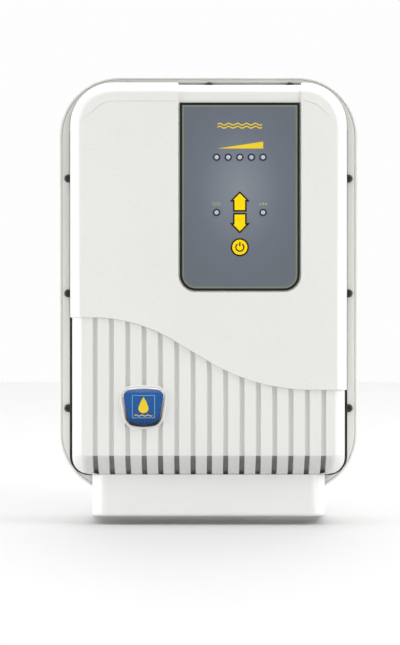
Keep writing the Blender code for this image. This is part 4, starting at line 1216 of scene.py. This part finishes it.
def panel_outline(inset):
    return rounded_box(
        PANEL_X - PANEL_HALF_WIDTH + inset, PANEL_X + PANEL_HALF_WIDTH - inset, PANEL_BOTTOM + inset,
        PANEL_TOP - inset, PANEL_CORNER - inset, 0,
    )


def printed(name, outlines, ink, front=OVERLAY_FRONT, body="unit", slot="overlay_grey"):
    """Ink as a thin layer on a surface."""
    layer = plate(name, outlines, front - PRINT_THICKNESS, front + 0.00002)
    dress(layer, body, slot, material=FINISHES_AND_PAINTED_LIGHT[ink])


def build_overlay():
    """The printed film with its openings, its marks in thin ink and a ring round each light."""
    gap = 0.00035
    holes = [circle(x, z, LIGHT_RADIUS + 0.0002, 32) for x, z in LIGHTS.values()]
    holes.append(offset(arrow_outline(UP_ARROW_BASE_Z, 1), gap))
    holes.append(offset(arrow_outline(DOWN_ARROW_BASE_Z, -1), gap))
    holes.append(circle(PANEL_X, POWER_Z, POWER_RADIUS + gap))
    overlay = plate("fine_control_overlay", [panel_outline(0), *holes], OVERLAY_FRONT, OVERLAY_BACK)
    dress(overlay, "unit", "overlay_grey", ["control_overlay"])
    inner = BORDER_WIDTH + LINE_WIDTH
    printed("print_border", [panel_outline(0.0001), panel_outline(BORDER_WIDTH)], "black")
    printed("print_line", [panel_outline(BORDER_WIDTH), panel_outline(inner)], "olive")
    left, right = PANEL_X - 0.0191, PANEL_X + 0.0203
    printed("print_wedge", [[(left, 0.1183), (right, 0.1183), (right, 0.1243)]], "yellow")
    for i, z in enumerate((0.1368, 0.1394), start=1):
        line = ribbon(PANEL_X - 0.0194, PANEL_X + 0.0194, z, 0.0008, 5, 0.0010)
        printed(f"print_ripple_{i}", [line], "yellow")
    for i, z in enumerate((0.0694, 0.0711), start=1):
        line = ribbon(PANEL_X - 0.0243, PANEL_X - 0.0165, z, 0.00045, 2, 0.0005)
        printed(f"print_flow_{i}", [line], "pale")
    for i, (x, z) in enumerate(((0.0178, 0.0699), (0.0204, 0.0703), (0.0230, 0.0699)), start=1):
        size = 0.0009 + 0.0002 * (i == 2)
        crystal = circle(PANEL_X + x, z, size, 6)
        printed(f"print_crystal_{i}", [crystal], "pale")
    for name, (x, z) in LIGHTS.items():
        profile = [
            (LIGHT_RADIUS + 0.00006, 0.0),
            (LIGHT_RADIUS + 0.00006, 0.00030),
            (LIGHT_RADIUS + 0.0002, 0.00045),
            (LIGHT_RING_RADIUS - 0.0003, 0.00045),
            (LIGHT_RING_RADIUS, 0.00020),
            (LIGHT_RING_RADIUS, 0.0),
        ]
        bezel = turned(f"bezel_{name}", profile, (x, OVERLAY_FRONT + 0.00002, z), ring=True)
        dress(bezel, "unit", "overlay_grey", material=FINISHES_AND_PAINTED_LIGHT["navy"])


def build_lights():
    """Domed lenses over their flanged bodies, which stand on the board."""
    for name, (x, z) in LIGHTS.items():
        low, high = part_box(name)
        height = high.y - low.y
        dome, rim = LIGHT_RADIUS, LIGHT_RADIUS + 0.0006
        profile = [(0, 0), (rim, 0), (rim, 0.001), (dome, 0.0012)]
        for across, up in arc(0, 0, 1, 0, 90, 8):
            profile.append((dome * across, height - dome * 0.75 * (1 - up)))
        light = turned(f"fine_{name}", profile, (x, high.y, z), steps=32)
        dress(light, "unit", "lens", [name])


def build_key(node, body, outline, plate_outline, stem_z, symbols=()):
    """A dark-edged cap with a yellow face, on a plate and stem behind the overlay."""
    cap = button(f"fine_{node}", outline, -0.1125, KEY_FRONT, 0.0003, 3)
    join(cap, plate("key_plate", [plate_outline], -0.1128, -0.1118))
    stem = [(0, 0.0014), (0.002, 0.0014), (0.002, 0), (0, 0)]
    join(cap, turned("key_stem", stem, (PANEL_X, -0.1107, stem_z)))
    dress(cap, body, "key_yellow", [node], material=FINISHES_AND_PAINTED_LIGHT["black"])
    border = offset(outline, -KEY_BORDER)
    face = button(f"{node}_face", border, KEY_FRONT + 0.0001, KEY_FRONT - 0.00012, 0.0001, 2)
    dress(face, body, "key_yellow")
    for i, shape in enumerate(symbols, start=1):
        printed(f"{node}_symbol_{i}", [shape], "black", KEY_FRONT - 0.00012, body, "key_yellow")


def build_keys():
    margin, overlap = 0.0009, 0.0006
    low_x, high_x = PANEL_X - ARROW_HALF_WIDTH - margin, PANEL_X + ARROW_HALF_WIDTH + margin
    for name, base_z, way in (("up", UP_ARROW_BASE_Z, 1), ("down", DOWN_ARROW_BASE_Z, -1)):
        near_z, far_z = base_z - way * overlap, base_z + way * (ARROW_HEIGHT + margin)
        plate_outline = box_outline(low_x, high_x, min(near_z, far_z), max(near_z, far_z))
        stem_z = base_z + way * ARROW_HEIGHT / 2
        build_key(f"{name}_key", f"{name}_button", arrow_outline(base_z, way), plate_outline, stem_z)
    ring = arc(PANEL_X, POWER_Z, 0.0040, 125, 415, 40) + arc(PANEL_X, POWER_Z, 0.0029, 415, 125, 40)
    bar = box_outline(PANEL_X - 0.0006, PANEL_X + 0.0006, POWER_Z + 0.0008, POWER_Z + 0.0046)
    build_key(
        "power_key", "power_button", circle(PANEL_X, POWER_Z, POWER_RADIUS),
        circle(PANEL_X, POWER_Z, POWER_RADIUS + margin), POWER_Z, (ring, bar),
    )


def build_badge():
    """A bright rounded rim round a blue plate that carries a water drop in a thin square."""
    section = [
        (0.0, BADGE_BACK), (0.0, -0.1153), (0.0002, -0.1158), (0.0006, -0.1162), (0.0009, BADGE_FRONT),
        (0.0013, -0.1162), (0.0018, -0.1157), (0.0018, BADGE_BACK),
    ]
    rings = [[(x, y, z) for x, z in shield_outline(-inset)] for inset, y in section]
    rim = loft("fine_badge_rim", rings, closed=True)
    dress(rim, "unit", "chrome_rim", ["badge_rim"], sharp=60)
    face = -0.1160
    blue = button("fine_badge_plate", shield_outline(-0.0020), BADGE_BACK, face, 0.0005)
    dress(blue, "unit", "enamel_blue", ["badge_plate"])
    z = BADGE_Z + 0.0004
    square = [box_outline(BADGE_X - a, BADGE_X + a, z - a, z + a) for a in (0.0099, 0.0095)]
    drop = [drop_outline(BADGE_X, z - 0.0010, 0.0046, 0.0096)]
    line = [ribbon(BADGE_X - 0.0078, BADGE_X + 0.0078, z - 0.0077, 0.0005, 3, 0.0007)]
    marks = (("square", square, "teal"), ("drop", drop, "yellow"), ("badge_ripple", line, "yellow"))
    for name, outlines, ink in marks:
        printed(f"print_{name}", outlines, ink, face, slot="enamel_blue")


# Entries under the unit


def build_gland(node, x):
    """A neck through the floor, a hexagon, a fluted domed nut and a rubber insert round the bore."""
    seat = TUB_FLOOR_Z - 0.0003
    bore = 0.0049
    hexagon = offset(circle(x, ENTRY_Y, 0.0125, 6), -0.0001)
    gland = plate(f"fine_{node}", [hexagon, circle(x, ENTRY_Y, bore)], seat - 0.005, seat, "Z")
    neck = [(0.0080, 0.009), (0.0080, -0.001), (bore, -0.001), (bore, 0.009)]
    join(gland, turned("neck", neck, (x, ENTRY_Y, seat), "Z", ring=True))
    nut = [(0.0105, -0.0045), (0.0105, -0.0098), (0.0102, -0.0108), (0.0094, -0.0124), (0.0082, -0.0137)]
    nut += [(0.0076, -0.0140), (bore, -0.0140), (bore, -0.0045)]
    join(gland, turned("nut", nut, (x, ENTRY_Y, seat), "Z", ring=True))
    for i in range(12):
        turn = math.radians(30 * i)
        place = (x + 0.0109 * math.cos(turn), ENTRY_Y + 0.0109 * math.sin(turn))
        flute = plate("flute", [circle(*place, 0.0010, 12)], seat - 0.0112, seat - 0.0054, "Z")
        cut(gland, flute)
    dress(gland, "unit", "gland_grey", [node])
    insert = [(bore - 0.00005, 0.004), (bore - 0.00005, -0.0142), (0.0043, -0.0144)]
    insert += [(0.0040, -0.0138), (0.0040, 0.004)]
    ring = turned(f"{node}_insert", insert, (x, ENTRY_Y, seat), "Z", ring=True)
    dress(ring, "unit", "gland_grey", material=MATERIALS["rubber"])


def build_fuse():
    """A panel holder, and its bayonet cap with a grip across it."""
    seat = TUB_FLOOR_Z - 0.0003
    place = (FUSE_X, ENTRY_Y, seat)
    holder = [
        (0.0064, 0.030), (0.0064, 0.0), (0.0086, 0.0), (0.0090, -0.0004), (0.0090, -0.0026),
        (0.0086, -0.003), (0.0046, -0.003), (0.0046, 0.028), (0.0010, 0.028), (0.0010, 0.030),
    ]
    body = turned("fine_fuse_holder", holder, place, "Z", ring=True)
    dress(body, "unit", "black_plastic", ["fuse_holder"])
    top = -0.0033
    plug = [
        (0, 0.022), (0.0040, 0.022), (0.0040, top), (0.0076, top), (0.0078, top - 0.0002),
        (0.0078, top - 0.0038), (0.0074, top - 0.0046), (0.0068, top - 0.005), (0, top - 0.005),
    ]
    cap = turned("fine_fuse_cap", plug, place, "Z")
    grip_top = seat + top - 0.0045
    low = (FUSE_X - 0.0012, ENTRY_Y - 0.0065, grip_top - 0.0035)
    grip = block("grip", low, (FUSE_X + 0.0012, ENTRY_Y + 0.0065, grip_top))
    join(cap, bevelled(grip, 0.0003))
    dress(cap, "fuse_carrier", "black_plastic", ["fuse_cap"])


def dress_frame_nodes():
    """Each CAD node that stays gets its slot's material."""
    for subpart in frame["record"]["subparts"]:
        node = frame["nodes"][subpart["node"]]
        node.data.materials.clear()
        node.data.materials.append(MATERIALS[subpart["material_slot"]])


# Floor, light and camera

CAMERA_DISTANCE = 14.0
VIEW_HEIGHT = 0.5616
VIEW_CENTRE = Vector((-0.0074, -0.085, -0.0329))
SENSOR = 36.0
FLOOR_HALF_WIDTH = 4.0
FLOOR_NEAR_Y = -3.2
FLOOR_STEP = 0.025
FLOOR_ROWS = 160
FLOOR_SLOPE = 0.14
FLOOR_UNDER_SLOPE = 0.090
FLOOR_FRONT_SLOPE = 0.22
FRONT_LEVEL = 0.345
SIDE_LEVEL = 1.20
BACK_LEVEL = 0.985


def build_floor():
    """A pale sweep that falls gently towards the camera from the foot of the wall."""
    start = skirt_high.y
    level = skirt_low.z - 0.0004
    profile = []
    for i in range(FLOOR_ROWS + 1):
        y = FLOOR_NEAR_Y + i * FLOOR_STEP
        behind = max(0.0, y - start) * FLOOR_SLOPE
        under = min(0.0, y - start) * FLOOR_UNDER_SLOPE
        front = max(0.0, skirt_low.y - 0.006 - y)
        fall = front * smooth_step(front, -0.02, 0.05) * FLOOR_FRONT_SLOPE
        profile.append((y, level + behind + under - fall))
    bm = bmesh.new()
    columns = (-FLOOR_HALF_WIDTH, -1.0, 1.0, FLOOR_HALF_WIDTH)
    rows = [[bm.verts.new((x, y, z)) for x in columns] for y, z in profile]
    for near, far in zip(rows, rows[1:]):
        for i in range(3):
            bm.faces.new((near[i], near[i + 1], far[i + 1], far[i]))
    mesh = bpy.data.meshes.new("floor")
    bm.to_mesh(mesh)
    bm.free()
    for polygon in mesh.polygons:
        polygon.use_smooth = True
    floor = add_object("floor", mesh)
    mesh.materials.append(surface("floor_paper", (0.66, 0.66, 0.66), 0.85, 0.004, 300, 0.01))


def add_light(name, place, target, size, power):
    data = bpy.data.lights.new(name, "AREA")
    data.shape = "RECTANGLE"
    data.size, data.size_y = size
    data.energy = power
    light = add_object(name, data)
    light.location = place
    light.rotation_euler = (Vector(target) - Vector(place)).to_track_quat("-Z", "Y").to_euler()


def build_light():
    """A light tent: bright behind and at the sides, dimmer from the front, with a key at the right."""
    world = bpy.data.worlds.new("studio")
    bpy.context.scene.world = world
    world.use_nodes = True
    facing = own_axes(world, add_node(world, "TexCoord").outputs["Generated"])["Y"]
    front = spread(world, facing, FRONT_LEVEL, SIDE_LEVEL, -1.0, -0.05)
    back = spread(world, facing, 0.0, SIDE_LEVEL - BACK_LEVEL, 0.1, 0.7)
    level = maths(world, "SUBTRACT", front, back)
    fill(world, world.node_tree.nodes["Background"], {"Color": (1, 1, 1, 1), "Strength": level})
    add_light("key", (1.3, -0.80, 0.9), (0, -0.05, -0.02), (0.5, 0.5), 6.0)
    add_light("left", (-1.2, -0.32, 0.0), (0, -0.08, -0.04), (0.8, 1.2), 7.0)
    add_light("right", (1.2, -0.32, 0.0), (0, -0.08, -0.04), (0.8, 1.2), 4.0)
    add_light("low", (0.75, -0.80, -0.12), (0.06, -0.09, -0.17), (0.3, 0.2), 0.9)
    add_light("low_left", (-0.75, -0.60, -0.12), (-0.06, -0.09, -0.15), (0.3, 0.2), 0.9)
    add_light("top", (0.0, -0.38, 1.3), (0, -0.08, 0), (1.2, 0.8), 4.0)
    add_light("back", (0.1, 0.30, 1.5), (0, -0.10, -0.2), (1.2, 0.6), 8.0)


def build_camera():
    data = bpy.data.cameras.new("camera")
    data.sensor_width = SENSOR
    data.lens = SENSOR * CAMERA_DISTANCE / VIEW_HEIGHT
    data.clip_start = 1.0
    data.clip_end = 40.0
    camera = add_object("camera", data)
    camera.location = VIEW_CENTRE - Vector((0, CAMERA_DISTANCE, 0))
    camera.rotation_euler = (math.radians(90), 0, 0)
    bpy.context.scene.camera = camera
    bpy.context.scene.view_settings.view_transform = "Standard"


dress_frame_nodes()
build_housing()
build_lid()
build_shade_strip()
build_bracket()
build_screws()
build_upper_cover()
build_ribbed_cover()
build_skirt()
build_overlay()
build_lights()
build_keys()
build_badge()
for gland, gland_x in ENTRIES.items():
    build_gland(gland, gland_x)
build_fuse()
build_floor()
build_light()
build_camera()
